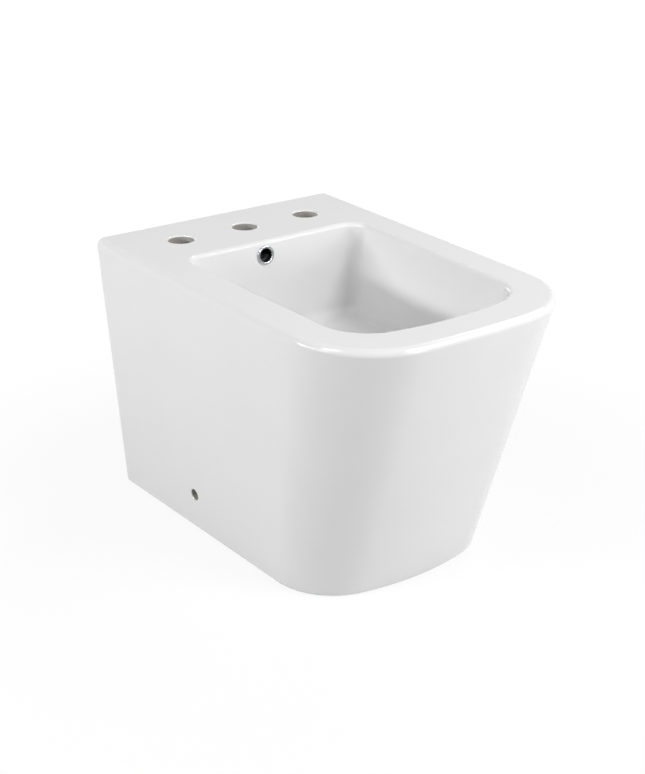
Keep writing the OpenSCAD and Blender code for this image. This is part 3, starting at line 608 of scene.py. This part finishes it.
face = (arc(ring_outer - 1.5, seat_gap + 0.7, 1.5, 1.7, 0, 90, 8)
        + arc(ring_inner + 1.5, seat_gap + 0.7, 1.5, 1.7, 90, 180, 8))
dress(spun("overflow_bezel", [(ring_inner, seat_gap), (ring_outer - 0.4, seat_gap)] + face, at_overflow),
      chrome, "bidet", "overflow_ring")
elbow = spun("overflow_elbow", [
    (elbow_bore, seat_gap + 0.6), (elbow_bore, -elbow_depth + 1.2), (elbow_bore - 0.9, -elbow_depth + 0.3),
    (0, -elbow_depth + 0.3), (0, -elbow_depth - 1), (elbow_bore - 0.4, -elbow_depth - 1),
    (overflow_r - 1.1, -elbow_depth + 0.4), (overflow_r - 1.1, -clip_length - 2),
    (overflow_r - 0.3, -clip_length + 1), (overflow_r - 1.1, -clip_length + 2.5),
    (overflow_r - 1.1, seat_gap)], at_overflow, closed=False)
outflow = block("outflow", (-12, -14, -elbow_depth + 0.6), (12, -2, -clip_length), place=at_overflow)
weigh_normals(boolean(elbow, [outflow]))
dress(elbow, black_plastic, "bidet", "overflow_ring")

# The waste: a chromed brass flange and tube that drop through the bowl's hole. The tube is threaded
# outside, four slots take the overflow's water, and a cross bar inside carries the push mechanism.
at_drain = Matrix.Translation((0, drain_y, 0))
thread_r, waste_wall, thread_depth, thread_pitch, thread_gap = 20.9, 2.2, 0.8, 2.3, 0.15
flange_r, flange_height, gasket_height = 32.0, 2.2, 1.5
flange_z = seat_z + gasket_height + seat_gap
flange_top = flange_z + flange_height
bar_height, bar_half, stud_r = 5.0, 2.0, 5.0
gallery_z = boss_z + 13
bar_z = gallery_z - bar_height
cone_height, slip_height, backnut_height, slip_r = 5.0, 2.0, 12.0, 29.0
slip_z = boss_z - cone_height - seat_gap - slip_height
backnut_z = slip_z - seat_gap - backnut_height
tail_z = backnut_z - 12.0
bore_r, mouth_r = thread_r - waste_wall, thread_r - 0.5


def thread(radius, low, high):
    """The toothed outline of a thread between two heights, with its crests cut flat."""
    points = []
    for i in range(int((high - low) / thread_pitch)):
        z = low + i * thread_pitch
        points += [(radius, z), (radius, z + 0.25 * thread_pitch),
                   (radius - thread_depth, z + 0.55 * thread_pitch),
                   (radius - thread_depth, z + 0.7 * thread_pitch)]
    return points + [(radius, high)]


waste_tube = spun("waste_tube", [(bore_r + 0.4, tail_z), (thread_r - 0.6, tail_z)]
                  + thread(thread_r, tail_z + 0.6, bar_z + 2)
                  + [(thread_r, flange_z), (flange_r - 0.5, flange_z)]
                  + arc(flange_r - 0.6, flange_z + 0.6, 0.6, 0.6, -90, 0, 4)[1:]
                  + arc(flange_r - 1.4, flange_top - 1.4, 1.4, 1.4, 0, 90, 8)
                  + arc(mouth_r + 1.6, flange_top - 1.6, 1.6, 1.6, 90, 160, 8)
                  + [(mouth_r - 0.3, flange_top - 2.2), (bore_r, flange_z - 2.1), (bore_r, tail_z + 0.4)],
                  at_drain)
slots = [block("slot", (-30, -4.5, gallery_z + 2), (30, 4.5, gallery_z + 16), 3.0,
               at_drain @ Matrix.Rotation(radians(turn), 4, "Z")) for turn in (45, 135)]
weigh_normals(boolean(waste_tube, slots))
dress(waste_tube, chrome, "bidet", "waste_body")

bar_reach = bore_r + 0.6
bar_one = block("waste_cross_bar", (-bar_reach, -bar_half, bar_z), (bar_reach, bar_half, gallery_z), 0.6,
                at_drain)
bar_two = block("bar_two", (-bar_half, -bar_reach, bar_z), (bar_half, bar_reach, gallery_z), 0.6, at_drain)
hub = spun("hub", [(0, bar_z)] + arc(8.4, bar_z + 0.6, 0.6, 0.6, -90, 0, 3)
           + arc(8.4, gallery_z - 0.6, 0.6, 0.6, 0, 90, 3) + [(0, gallery_z)], at_drain, 64, closed=False)
boolean(bar_one, [bar_two, hub], "UNION")
weigh_normals(boolean(bar_one, [rod("stud_hole", stud_r + thread_gap, bar_z - 2, bar_z + 7, at_drain, 48)]))
dress(bar_one, chrome, "bidet", "waste_body")

# What seals and clamps the waste in the china: a flat rubber ring under its flange, a rubber cone
# and a plastic slip washer under the boss, and a brass backnut that stays a plain hexagon.

# EPDM rubber, moulded: matt near-black with a dusting of talc (6 mm) and a leathery skin (0.6 mm).
rubber, place = new_material("epdm_rubber")
talc = add(rubber, "TexNoise", {"Scale": 1 / (6 * MM), "Detail": 4.0}, {"Vector": place})
tone = add(rubber, "Mix", {6: linear("#1d1d1f"), 7: linear("#2a2a2b")}, {0: talc}, data_type="RGBA")
leather = add(rubber, "TexNoise", {"Scale": 1 / (0.6 * MM), "Detail": 2.0}, {"Vector": place})
creased = add(rubber, "Bump", {"Distance": 0.02 * MM, "Strength": 0.4}, {"Height": leather})
shader = add(rubber, "BsdfPrincipled", {"Roughness": 0.7, "IOR": 1.5},
             {"Base Color": tone.outputs[2], "Normal": creased})
add(rubber, "OutputMaterial", links={"Surface": shader})

# White polypropylene, injection moulded: slightly waxy and see-through, satin, with flow marks (40 mm),
# shallow sink (22 mm) and the mould's fine grain (0.9 mm).
white_plastic, place = new_material("white_polypropylene")
flow = add(white_plastic, "TexNoise", {"Scale": 1 / (40 * MM), "Detail": 2.0}, {"Vector": place})
tone = add(white_plastic, "Mix", {6: linear("#e4e4e1"), 7: linear("#dededa")}, {0: flow}, data_type="RGBA")
satin = add(white_plastic, "MapRange", {"To Min": 0.28, "To Max": 0.4}, {"Value": flow})
hollows = add(white_plastic, "TexNoise", {"Scale": 1 / (22 * MM), "Detail": 1.0}, {"Vector": place})
sink = add(white_plastic, "Bump", {"Distance": 0.05 * MM, "Strength": 0.3}, {"Height": hollows})
grain = add(white_plastic, "TexNoise", {"Scale": 1 / (0.9 * MM), "Detail": 1.0}, {"Vector": place})
spark = add(white_plastic, "Bump", {"Distance": 0.008 * MM, "Strength": 0.4},
            {"Height": grain, "Normal": sink})
shader = add(white_plastic, "BsdfPrincipled",
             {"IOR": 1.49, "Subsurface Weight": 0.1, "Subsurface Scale": 0.004},
             {"Base Color": tone.outputs[2], "Roughness": satin, "Normal": spark})
add(white_plastic, "OutputMaterial", links={"Surface": shader})

# Brass, forged and turned, left bare: warm yellow with a dull bloom (9 mm) and turning marks (0.7 mm).
brass, place = new_material("bare_brass")
bloom = add(brass, "TexNoise", {"Scale": 1 / (9 * MM), "Detail": 4.0}, {"Vector": place})
tone = add(brass, "Mix", {6: linear("#c9a45c"), 7: linear("#b08a49")}, {0: bloom}, data_type="RGBA")
dull = add(brass, "MapRange", {"To Min": 0.22, "To Max": 0.42}, {"Value": bloom})
lathe = add(brass, "TexNoise", {"Scale": 1 / (0.7 * MM), "Detail": 2.0}, {"Vector": place})
turned = add(brass, "Bump", {"Distance": 0.012 * MM, "Strength": 0.5}, {"Height": lathe})
shader = add(brass, "BsdfPrincipled", {"Metallic": 1.0},
             {"Base Color": tone.outputs[2], "Roughness": dull, "Normal": turned})
add(brass, "OutputMaterial", links={"Surface": shader})


def washer(name, node, inner, outer, low, height, material, body="bidet"):
    """A flat ring on the waste's axis, with its edges softened."""
    ring = spun(name, [(inner, low), (outer, low), (outer, low + height), (inner, low + height)], at_drain,
                soften=0.25)
    dress(ring, material, body, node)


threaded_r = thread_r + thread_gap
washer("flange_seal", "flange_gasket", threaded_r, flange_r - 1, seat_z + seat_gap / 2, gasket_height,
       rubber)
dress(spun("cone_seal", [(threaded_r, boss_z - cone_height), (slip_r, boss_z - cone_height),
                         (slip_r + 2, boss_z - seat_gap), (drain_hole_r - 0.4, boss_z - seat_gap),
                         (drain_hole_r - 1, boss_z + 5), (threaded_r, boss_z + 5)], at_drain, soften=0.3),
      rubber, "bidet", "tapered_gasket")
washer("slip_ring", "slip_washer", threaded_r, slip_r, slip_z, slip_height, white_plastic)
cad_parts["backnut"].data.materials.clear()
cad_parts["backnut"].data.materials.append(brass)

# The push mechanism: a turned brass cartridge screwed into the cross bar, a chromed plunger that
# slides in it with a collar, and a spring of bright steel wire between the two.
cartridge_top = gallery_z + 14
collar_z = cartridge_top + 9
plug_gap, plug_seal_height = 0.1, 1.5
plug_seal_z = flange_top + plug_gap
cap_z = plug_seal_z + plug_seal_height + seat_gap
plunger_r, plunger_gap, cartridge_r, waist_r = 4.0, 0.06, 7.5, 6.9
dress(spun("push_cartridge", [
    (0, bar_z - 4), (stud_r - 0.4, bar_z - 4), (stud_r, bar_z - 3.6), (stud_r, gallery_z + seat_gap),
    (cartridge_r - 0.4, gallery_z + seat_gap), (cartridge_r, gallery_z + 0.5), (cartridge_r, gallery_z + 4),
    (waist_r, gallery_z + 4.4), (waist_r, gallery_z + 9.6), (cartridge_r, gallery_z + 10),
    (cartridge_r, cartridge_top - 0.6), (cartridge_r - 0.6, cartridge_top),
    (plunger_r + plunger_gap, cartridge_top), (plunger_r + plunger_gap, gallery_z + 1), (0, gallery_z + 1)],
    at_drain, 64, closed=False), brass, "bidet", "click_cartridge")
dress(spun("push_plunger", [
    (0, gallery_z + 2), (3.5, gallery_z + 2), (plunger_r, gallery_z + 2.5), (plunger_r, collar_z)]
    + arc(6.6, collar_z + 0.4, 0.4, 0.4, -90, 0, 3) + arc(6.6, collar_z + 1.6, 0.4, 0.4, 0, 90, 3)
    + [(plunger_r, collar_z + 2), (plunger_r, cap_z - 2.4), (plunger_r - 0.4, cap_z - 2), (0, cap_z - 2)],
    at_drain, 64, closed=False), chrome, "plug", "click_plunger")

# Spring steel, drawn and bright: darker than chrome, with a blue-grey drift (3 mm) and the die's haze.
spring_steel, place = new_material("spring_steel")
drift = add(spring_steel, "TexNoise", {"Scale": 1 / (3 * MM), "Detail": 3.0}, {"Vector": place})
tone = add(spring_steel, "Mix", {6: linear("#9a9b9d"), 7: linear("#85868a")}, {0: drift}, data_type="RGBA")
drawn = add(spring_steel, "MapRange", {"To Min": 0.2, "To Max": 0.38}, {"Value": drift})
shader = add(spring_steel, "BsdfPrincipled", {"Metallic": 1.0},
             {"Base Color": tone.outputs[2], "Roughness": drawn})
add(spring_steel, "OutputMaterial", links={"Surface": shader})
spring_turns, spring_r, wire = 5, 5.9, 1.0
spring_low, spring_high = cartridge_top + seat_gap + wire / 2, collar_z - seat_gap - wire / 2
coil = bmesh.new()
section = bmesh.ops.create_circle(coil, segments=12, radius=wire / 2)["verts"]
bmesh.ops.rotate(coil, verts=section, cent=(0, 0, 0), matrix=Matrix.Rotation(pi / 2, 3, "X"))
bmesh.ops.translate(coil, verts=section, vec=(spring_r, drain_y, spring_low))
steps = 30 * spring_turns
swept = bmesh.ops.spin(coil, geom=list(coil.verts) + list(coil.edges), cent=(0, drain_y, 0), axis=(0, 0, 1),
                       dvec=(0, 0, (spring_high - spring_low) / steps), angle=2 * pi * spring_turns,
                       steps=steps)
far_end = [g for g in swept["geom_last"] if isinstance(g, bmesh.types.BMVert)]
for end in ([v for v in coil.verts if v in set(section)], far_end):
    bmesh.ops.contextual_create(coil, geom=end)
bmesh.ops.recalc_face_normals(coil, faces=coil.faces)
coil = to_object("push_spring", coil)
coil.data.materials.append(spring_steel)
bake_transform(coil)
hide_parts("click_spring")

# The plug: a pressed and chromed brass dome on a hub that screws on the plunger, with a rubber ring
# under its rim that shuts the waste.
cap_r, cap_height, cap_rim, hub_z = 30.0, 6.0, 1.6, collar_z + 2 + seat_gap
dome = [((cap_r - cap_rim) * cos(pi / 2 * t) + cap_rim * (1 - t),
         cap_z + cap_rim + (cap_height - cap_rim) * sin(pi / 2 * t)) for t in (i / 24 for i in range(25))]
dress(spun("plug_dome", [
    (0, cap_z - 1), (plunger_r + seat_gap, cap_z - 1), (plunger_r + seat_gap, hub_z),
    (cartridge_r - 0.4, hub_z), (cartridge_r, hub_z + 0.4), (cartridge_r, cap_z), (cap_r - 0.8, cap_z)]
    + arc(cap_r - 0.8, cap_z + 0.8, 0.8, 0.8, -90, 0, 5)[1:] + dome, at_drain, 128, closed=False),
    chrome, "plug", "plug_cap")
washer("plug_ring", "plug_seal", mouth_r - 3, cap_r - 1, plug_seal_z, plug_seal_height, rubber,
       "plug")

# The bottle trap, moulded in white polypropylene. A flanged tube hangs under the waste and dips into
# the bottle, whose cup unscrews for cleaning. Every joint is drawn up by a nut on a rubber ring.
nut_r, nut_lip, nut_spacing, ribs, points_each = 26.0, 3.0, 4.25, 12, 16
pipe_r, pipe_wall, pipe_gap = 16.0, 1.6, 0.25
inlet_grip, inlet_washer, tube_flange = 9.0, 3.0, 2.5
tube_top = tail_z - inlet_washer - 2 * seat_gap
inlet_nut_depth = inlet_grip + inlet_washer + tube_flange + 3 * seat_gap
neck_height, neck_r, joint_seal = 12.0, thread_r, 4.0
top_nut_depth = neck_height + joint_seal + 2 * seat_gap
inlet_nut_z = tail_z + inlet_grip - inlet_nut_depth - nut_lip
bottle_top = inlet_nut_z - nut_spacing - nut_lip - top_nut_depth
neck_z = bottle_top + neck_height
outlet_z = bottle_top - 2 - neck_r
bottle_r, bottle_wall, skirt_step, collar_height = 31.0, 3.0, 4.0, 14.0
cup_z, cup_round, cup_seal = 11.0, 8.0, 2.0
cup_collar = outlet_z - neck_r - skirt_step - collar_height
collar_top = cup_collar + collar_height
skirt_r = bottle_r - 2.4
skirt_z = cup_collar + cup_seal + 2 * seat_gap


def gripped(name, outside, inside, place, rib_width):
    """A moulded nut or cup: rings of (radius, height, how far its ribs stand out), closed into a shell."""
    bm = bmesh.new()
    count = ribs * points_each

    def ring(radius, z, out):
        points = []
        for i in range(count):
            turn = 2 * pi * i / count
            across_rib = abs((i / points_each + 0.5) % 1 - 0.5) * 2 * pi * radius / ribs
            rise = max(0.0, min(1.0, (rib_width / 2 + 0.6 - across_rib) / 1.2))
            r = radius + out * rise * rise * (3 - 2 * rise)
            points.append(Vector((r * cos(turn), r * sin(turn), z)))
        return points

    rings = [ring(*row) for row in outside + [(r, z, 0) for r, z in inside]]
    last = grow(bm, start_ring(bm, rings[0]), rings[1:])
    if (rings[-1][0] - rings[0][0]).length < 1e-6:
        bmesh.ops.remove_doubles(bm, verts=bm.verts, dist=1e-4)
    else:
        bm.faces.new(last)
        bm.faces.new(bm.verts[:count])
    bmesh.ops.transform(bm, matrix=place, verts=bm.verts)
    bmesh.ops.recalc_face_normals(bm, faces=bm.faces)
    for edge in (e for e in bm.edges if e.is_manifold and e.calc_face_angle() > radians(50)):
        edge.smooth = False
    return weigh_normals(to_object(name, bm))


def union_nut(name, node, place, bore, hole, depth):
    """A nut with grips round it, open at z = 0, whose lip holds what it draws up."""
    top = depth + nut_lip
    body = nut_r - 1
    shape = gripped(name, [
        (bore + 0.6, 0, 0), (body - 0.7, 0, 0), (body - 0.2, 0.2, 0), (body, 0.7, 0), (body, 1.2, 0.7),
        (body, 2.0, 1.0), (body, top - 2.4, 1.0), (body, top - 1.4, 0.8), (body - 0.1, top - 0.9, 0.1),
        (body - 0.5, top - 0.25, 0), (body - 1.1, top, 0)],
        [(hole + 0.5, top), (hole + 0.15, top - 0.15), (hole, top - 0.5), (hole, depth),
         (bore - 0.5, depth), (bore, depth - 0.5), (bore, 0.6), (bore + 0.6, 0)], place, 3.2)
    dress(shape, white_plastic, "bidet", node)


def wedge_seal(name, node, place, radius):
    """A wedge-shaped rubber ring round a pipe, squeezed between the socket's rim and the nut's lip."""
    shape = spun(name, [(radius + seat_gap, 0), (neck_r - 0.6, 0), (neck_r - 0.6, 1.6),
                        (radius + 1.6, joint_seal), (radius + seat_gap, joint_seal)], place, soften=0.2)
    dress(shape, rubber, "bidet", node)


def on_axis(z):
    """A place on the waste's axis, at a height."""
    return Matrix.Translation((0, drain_y, z))


sleeve_r = pipe_r + pipe_gap
at_outlet = Matrix.Translation((0, drain_y, outlet_z)) @ Matrix.Rotation(-pi / 2, 4, "X")
pipe_bore = pipe_r - pipe_wall
washer("inlet_ring", "trap_inlet_washer", pipe_bore, thread_r - 1, tail_z - seat_gap - inlet_washer,
       inlet_washer, rubber)
union_nut("inlet_nut", "trap_inlet_nut", on_axis(tail_z + inlet_grip) @ Matrix.Diagonal((1, 1, -1, 1)),
          threaded_r, sleeve_r, inlet_nut_depth)
tube_low = mix(cup_z + bottle_wall, cup_collar, 0.45)
dress(spun("inlet_tube", [
    (pipe_bore, tube_low), (pipe_r - 0.3, tube_low), (pipe_r, tube_low + 0.3),
    (pipe_r, tube_top - tube_flange), (thread_r - 1, tube_top - tube_flange),
    (thread_r - 1, tube_top - 0.3), (thread_r - 1.3, tube_top), (pipe_bore + 0.4, tube_top),
    (pipe_bore, tube_top - 0.4)], at_drain), white_plastic, "bidet", "trap_inlet_tube")
union_nut("bottle_nut", "trap_top_nut", on_axis(bottle_top + 1.5), neck_r + thread_gap, sleeve_r,
          top_nut_depth - 1.5)
wedge_seal("bottle_ring", "trap_top_seal", on_axis(neck_z + seat_gap), pipe_r)

bottle = spun("bottle", [
    (skirt_r - bottle_wall, skirt_z), (skirt_r - 0.3, skirt_z), (skirt_r, skirt_z + 0.3),
    (skirt_r, collar_top + skirt_step / 2), (bottle_r - 0.5, collar_top + skirt_step - 0.3),
    (bottle_r, collar_top + skirt_step + 0.4)]
    + arc(bottle_r - 5, bottle_top - 5, 5, 5, 0, 90, 10) + [(neck_r, bottle_top)]
    + thread(neck_r, bottle_top + 1, neck_z - 0.5) + [(neck_r - 0.5, neck_z), (sleeve_r, neck_z),
    (sleeve_r, bottle_top - bottle_wall), (bottle_r - 8, bottle_top - bottle_wall),
    (bottle_r - bottle_wall, bottle_top - bottle_wall - 5), (bottle_r - bottle_wall, collar_top + 6),
    (skirt_r - bottle_wall, collar_top + 4)], at_drain, 128)
socket_length = 50.0
socket = spun("socket", [
    (sleeve_r, bottle_r - 5), (neck_r, bottle_r - 5), (neck_r, bottle_r + 2)]
    + thread(neck_r, bottle_r + 3, socket_length - 0.5)
    + [(neck_r - 0.5, socket_length), (sleeve_r, socket_length)], at_outlet)
way_out = spun("way_out", [
    (0, bottle_r - 14), (pipe_bore, bottle_r - 14), (pipe_bore, bottle_r),
    (sleeve_r, bottle_r), (sleeve_r, socket_length + 10), (0, socket_length + 10)], at_outlet, closed=False)
boolean(bottle, [socket], "UNION")
weigh_normals(boolean(bottle, [way_out]))
dress(bottle, white_plastic, "bidet", "trap_body")

shoulder_r = skirt_r - bottle_wall
cup_outer, collar_r = shoulder_r + 2, skirt_r + 5
inner_round = cup_round - bottle_wall
cup_corner = (cup_outer - cup_round, cup_z + cup_round)
cup = gripped("cup", [
    (0.01, cup_z, 0)] + [(r, z, 0) for r, z in arc(*cup_corner, cup_round, cup_round, -90, 0, 8)]
    + [(cup_outer, cup_collar - 4, 0), (collar_r - 1, cup_collar - 1.6, 0),
       (collar_r, cup_collar - 0.6, 0.2), (collar_r, cup_collar + 0.6, 1.0),
       (collar_r, collar_top - 3, 1.0), (collar_r, collar_top - 1.6, 0.4),
       (collar_r - 0.3, collar_top - 0.4, 0), (collar_r - 1, collar_top, 0)],
    [(skirt_r + 0.5, collar_top), (skirt_r + thread_gap, collar_top - 0.4),
     (skirt_r + thread_gap, cup_collar), (cup_outer - bottle_wall, cup_collar)]
    + arc(*cup_corner, inner_round, inner_round, 0, -90, 6) + [(0.01, cup_z + bottle_wall)], at_drain, 4.0)
dress(cup, white_plastic, "bidet", "trap_cup")
washer("cup_ring", "trap_cup_seal", shoulder_r, skirt_r - 0.3, cup_collar + seat_gap, cup_seal, rubber)

nut_start = bottle_r + 6
union_nut("outlet_nut", "trap_outlet_nut", at_outlet @ Matrix.Translation((0, 0, nut_start)),
          neck_r + thread_gap, sleeve_r, socket_length - nut_start + joint_seal + 2 * seat_gap)
slim_r, spigot = pipe_r - 0.2, drain_from_wall - 30.0
wedge_seal("outlet_ring", "trap_outlet_seal",
           at_outlet @ Matrix.Translation((0, 0, socket_length + seat_gap)), slim_r)
dress(spun("outlet_pipe", [
    (pipe_bore, bottle_r + 1), (slim_r - 0.3, bottle_r + 1), (slim_r, bottle_r + 1.3),
    (slim_r, spigot - 0.3), (pipe_r, spigot), (pipe_r, drain_from_wall - 0.8),
    (pipe_r - 0.8, drain_from_wall), (pipe_bore, drain_from_wall)], at_outlet),
    white_plastic, "bidet", "trap_outlet_pipe")

# The floor brackets: moulded angles of black glass-filled nylon with two gussets. Each stands behind
# a side fixing hole, is screwed to the floor, and takes the side screw that holds the body down.
bracket_height, bracket_width, bracket_foot, bracket_wall = 80.0, 52.0, 52.0, 5.0
bracket_x = boss_face - 0.2
floor_hole_r, floor_hole_spacing, side_hole_r = 4.25, 28.0, 4.0

# Glass-filled nylon, moulded: near black, satin in patches (5 mm), with the fibres' fine grain (0.7 mm).
nylon, place = new_material("black_glass_filled_nylon")
patches = add(nylon, "TexNoise", {"Scale": 1 / (5 * MM), "Detail": 3.0}, {"Vector": place})
tone = add(nylon, "Mix", {6: linear("#1b1b1c"), 7: linear("#262627")}, {0: patches}, data_type="RGBA")
satin = add(nylon, "MapRange", {"To Min": 0.42, "To Max": 0.62}, {"Value": patches})
fibres = add(nylon, "TexNoise", {"Scale": 1 / (0.7 * MM), "Detail": 3.0}, {"Vector": place})
grain = add(nylon, "Bump", {"Distance": 0.02 * MM, "Strength": 0.5}, {"Height": fibres})
shader = add(nylon, "BsdfPrincipled", {"IOR": 1.53},
             {"Base Color": tone.outputs[2], "Roughness": satin, "Normal": grain})
add(nylon, "OutputMaterial", links={"Surface": shader})


def prism(name, outline_xz, low_y, high_y, soften):
    """A plate cut to an outline of (x, z) points, with all its edges rounded."""
    bm = bmesh.new()
    flat = bm.faces.new([bm.verts.new((x, low_y, z)) for x, z in outline_xz])
    moved = bmesh.ops.extrude_face_region(bm, geom=[flat])["geom"]
    bmesh.ops.translate(bm, vec=(0, high_y - low_y, 0),
                        verts=[v for v in moved if isinstance(v, bmesh.types.BMVert)])
    bmesh.ops.recalc_face_normals(bm, faces=bm.faces)
    round_edges(bm, list(bm.edges), soften, clamped=True)
    return to_object(name, bm)


def floor_bracket(side):
    """One bracket: the angle, its gussets and its three holes, mirrored to the left by its side."""
    name = "bracket_left" if side < 0 else "bracket_right"
    inner, toe = bracket_x - bracket_wall, bracket_x - bracket_foot
    half = bracket_width / 2
    angle = prism(name, [(bracket_x, 0), (bracket_x, bracket_height), (inner, bracket_height),
                         (inner, bracket_wall), (toe, bracket_wall), (toe, 0)],
                  fixing_y - half, fixing_y + half, 1.0)
    gusset_toe, gusset_top = toe + bracket_wall, bracket_height - 2 * bracket_wall
    gussets = [prism("gusset", [(inner + 1, bracket_wall - 1), (gusset_toe, bracket_wall - 1),
                                (gusset_toe, bracket_wall + 0.5), (inner, gusset_top),
                                (inner + 1, gusset_top)],
                     y - bracket_wall / 2, y + bracket_wall / 2, 0.4)
               for y in (fixing_y - half + bracket_wall / 2, fixing_y + half - bracket_wall / 2)]
    hole_x = bracket_x - bracket_foot / 2 - bracket_wall / 2
    places = [Matrix.Translation((hole_x, fixing_y + end * floor_hole_spacing / 2, 0)) for end in (-1, 1)]
    drills = [rod("drill", floor_hole_r, -8, 8, place, 48) for place in places]
    drills.append(rod("drill", side_hole_r, -8, 8, Matrix.Translation((bracket_x, fixing_y, fixing_z))
                      @ Matrix.Rotation(pi / 2, 4, "Y"), 48))
    boolean(angle, gussets, "UNION")
    boolean(angle, drills)
    if side < 0:
        angle.data.transform(Matrix.Diagonal((-1, 1, 1, 1)))
        angle.data.flip_normals()
    return weigh_normals(angle)


dress(floor_bracket(-1), nylon, "bidet", "floor_bracket_left")
dress(floor_bracket(1), nylon, "bidet", "floor_bracket_right")

# The studio: a pale floor, white all round for the camera, and soft light from large diffusers.
bpy.context.scene.view_settings.view_transform = "Standard"

# The camera looks down a little at the body from the left of its front.
camera_data = bpy.data.cameras.new("camera")
camera_data.lens, camera_data.sensor_width, camera_data.clip_end = 66.95, 36.0, 50
camera = bpy.data.objects.new("camera", camera_data)
bpy.context.scene.collection.objects.link(camera)
azimuth, elevation, distance = radians(-35.95), radians(23.6), 1.840
away = Vector((sin(azimuth) * cos(elevation), -cos(azimuth) * cos(elevation), sin(elevation)))
across = Vector((cos(azimuth), sin(azimuth), 0))
target = Vector((-25.7, wall_y - 284.8, 210.6)) * MM
facing = Matrix((across, away.cross(across), away)).transposed().to_4x4()
camera.matrix_world = Matrix.Translation(target + away * distance) @ facing
bpy.context.scene.camera = camera


def softbox(name, place, width, height, power):
    """A flat diffuser of a given size that faces the middle of the body."""
    data = bpy.data.lights.new(name, "AREA")
    data.shape = "RECTANGLE"
    data.size, data.size_y, data.energy = width, height, power
    lamp = bpy.data.objects.new(name, data)
    lamp.location = place
    lamp.rotation_euler = (Vector((0, 0, 0.2)) - Vector(place)).to_track_quat("-Z", "Y").to_euler()
    bpy.context.scene.collection.objects.link(lamp)


softbox("left_strip", (-2.478, 0.0, 0.986), 1.0, 0.16, 9)
softbox("left_rear_strip", (-2.357, 0.766, 0.986), 1.0, 0.16, 21)
softbox("left_high", (-1.733, -0.152, 2.132), 0.8, 0.5, 14)
softbox("front_high", (0.661, -1.816, 1.940), 0.8, 0.3, 28)
softbox("front_right", (1.417, -1.950, 1.174), 1.2, 0.15, 9)
softbox("right_high", (1.384, -1.161, 2.070), 1.2, 0.15, 5)
softbox("front_low", (0.535, -2.518, 0.562), 1.0, 0.3, 13)
softbox("right_rear", (1.816, 0.661, 1.940), 1.2, 0.8, 13)
softbox("rear_low", (0.45, 2.56, 0.38), 1.6, 0.5, 12)


def seen_or_mirrored(owner):
    """1 where the camera looks, also in a mirror or through plastic, and 0 for the light on a surface."""
    rays = add(owner, "LightPath").outputs
    mirrored = add(owner, "Math", links={0: rays["Is Camera Ray"], 1: rays["Is Glossy Ray"]},
                   operation="MAXIMUM")
    return add(owner, "Math", links={0: mirrored, 1: rays["Is Transmission Ray"]}, operation="MAXIMUM")


# The room is white to the eye and in mirrors, and dim grey as light on the surfaces.
world = bpy.data.worlds.new("studio")
bpy.context.scene.world = world
world.use_nodes = True
world.node_tree.nodes.clear()
room = add(world, "Background", {"Color": linear("#c4c4c4"), "Strength": 0.2})
white = add(world, "Background", {"Color": (1, 1, 1, 1), "Strength": 1.0})
both = add(world, "MixShader", links={0: seen_or_mirrored(world), 1: room, 2: white})
add(world, "OutputWorld", links={"Surface": both})

# The floor is white where it is seen or mirrored, and close to the object its own matt surface shows
# through, so that it keeps the shadow round the foot. The part that the body covers is plain matt paint,
# so it is dark when the back opening is looked into.
bm = bmesh.new()
bmesh.ops.create_circle(bm, cap_ends=True, segments=64, radius=14 / MM)
bmesh.ops.translate(bm, vec=(0, 0, -0.3), verts=bm.verts)
covered = bm.faces.new([bm.verts.new(p) for p in outline(drawn_in(body_plan(0), 9.0), -0.15)])
covered.material_index = 1
floor = to_object("floor", bm)
floor_paint, place = new_material("matt_floor_paint")
from_middle = add(floor_paint, "VectorMath", links={0: place}, operation="LENGTH")
share = add(floor_paint, "MapRange", {"From Min": 0.3, "From Max": 0.8, "To Min": 0.86, "To Max": 1.0},
            {"Value": from_middle.outputs["Value"]}, interpolation_type="SMOOTHSTEP")
pale = add(floor_paint, "BsdfDiffuse", {"Color": linear("#f8f8f8")})
lit = add(floor_paint, "Emission", {"Color": (1, 1, 1, 1), "Strength": 1.0})
shown = add(floor_paint, "MixShader", links={0: share, 1: pale, 2: lit})
matt = add(floor_paint, "BsdfDiffuse", {"Color": linear("#c8c8c8")})
plain = add(floor_paint, "MixShader", links={0: seen_or_mirrored(floor_paint), 1: matt, 2: shown})
add(floor_paint, "OutputMaterial", links={"Surface": plain})
covered_paint, place = new_material("covered_floor_paint")
matt = add(covered_paint, "BsdfDiffuse", {"Color": linear("#c8c8c8")})
add(covered_paint, "OutputMaterial", links={"Surface": matt})
for paint in (floor_paint, covered_paint):
    floor.data.materials.append(paint)
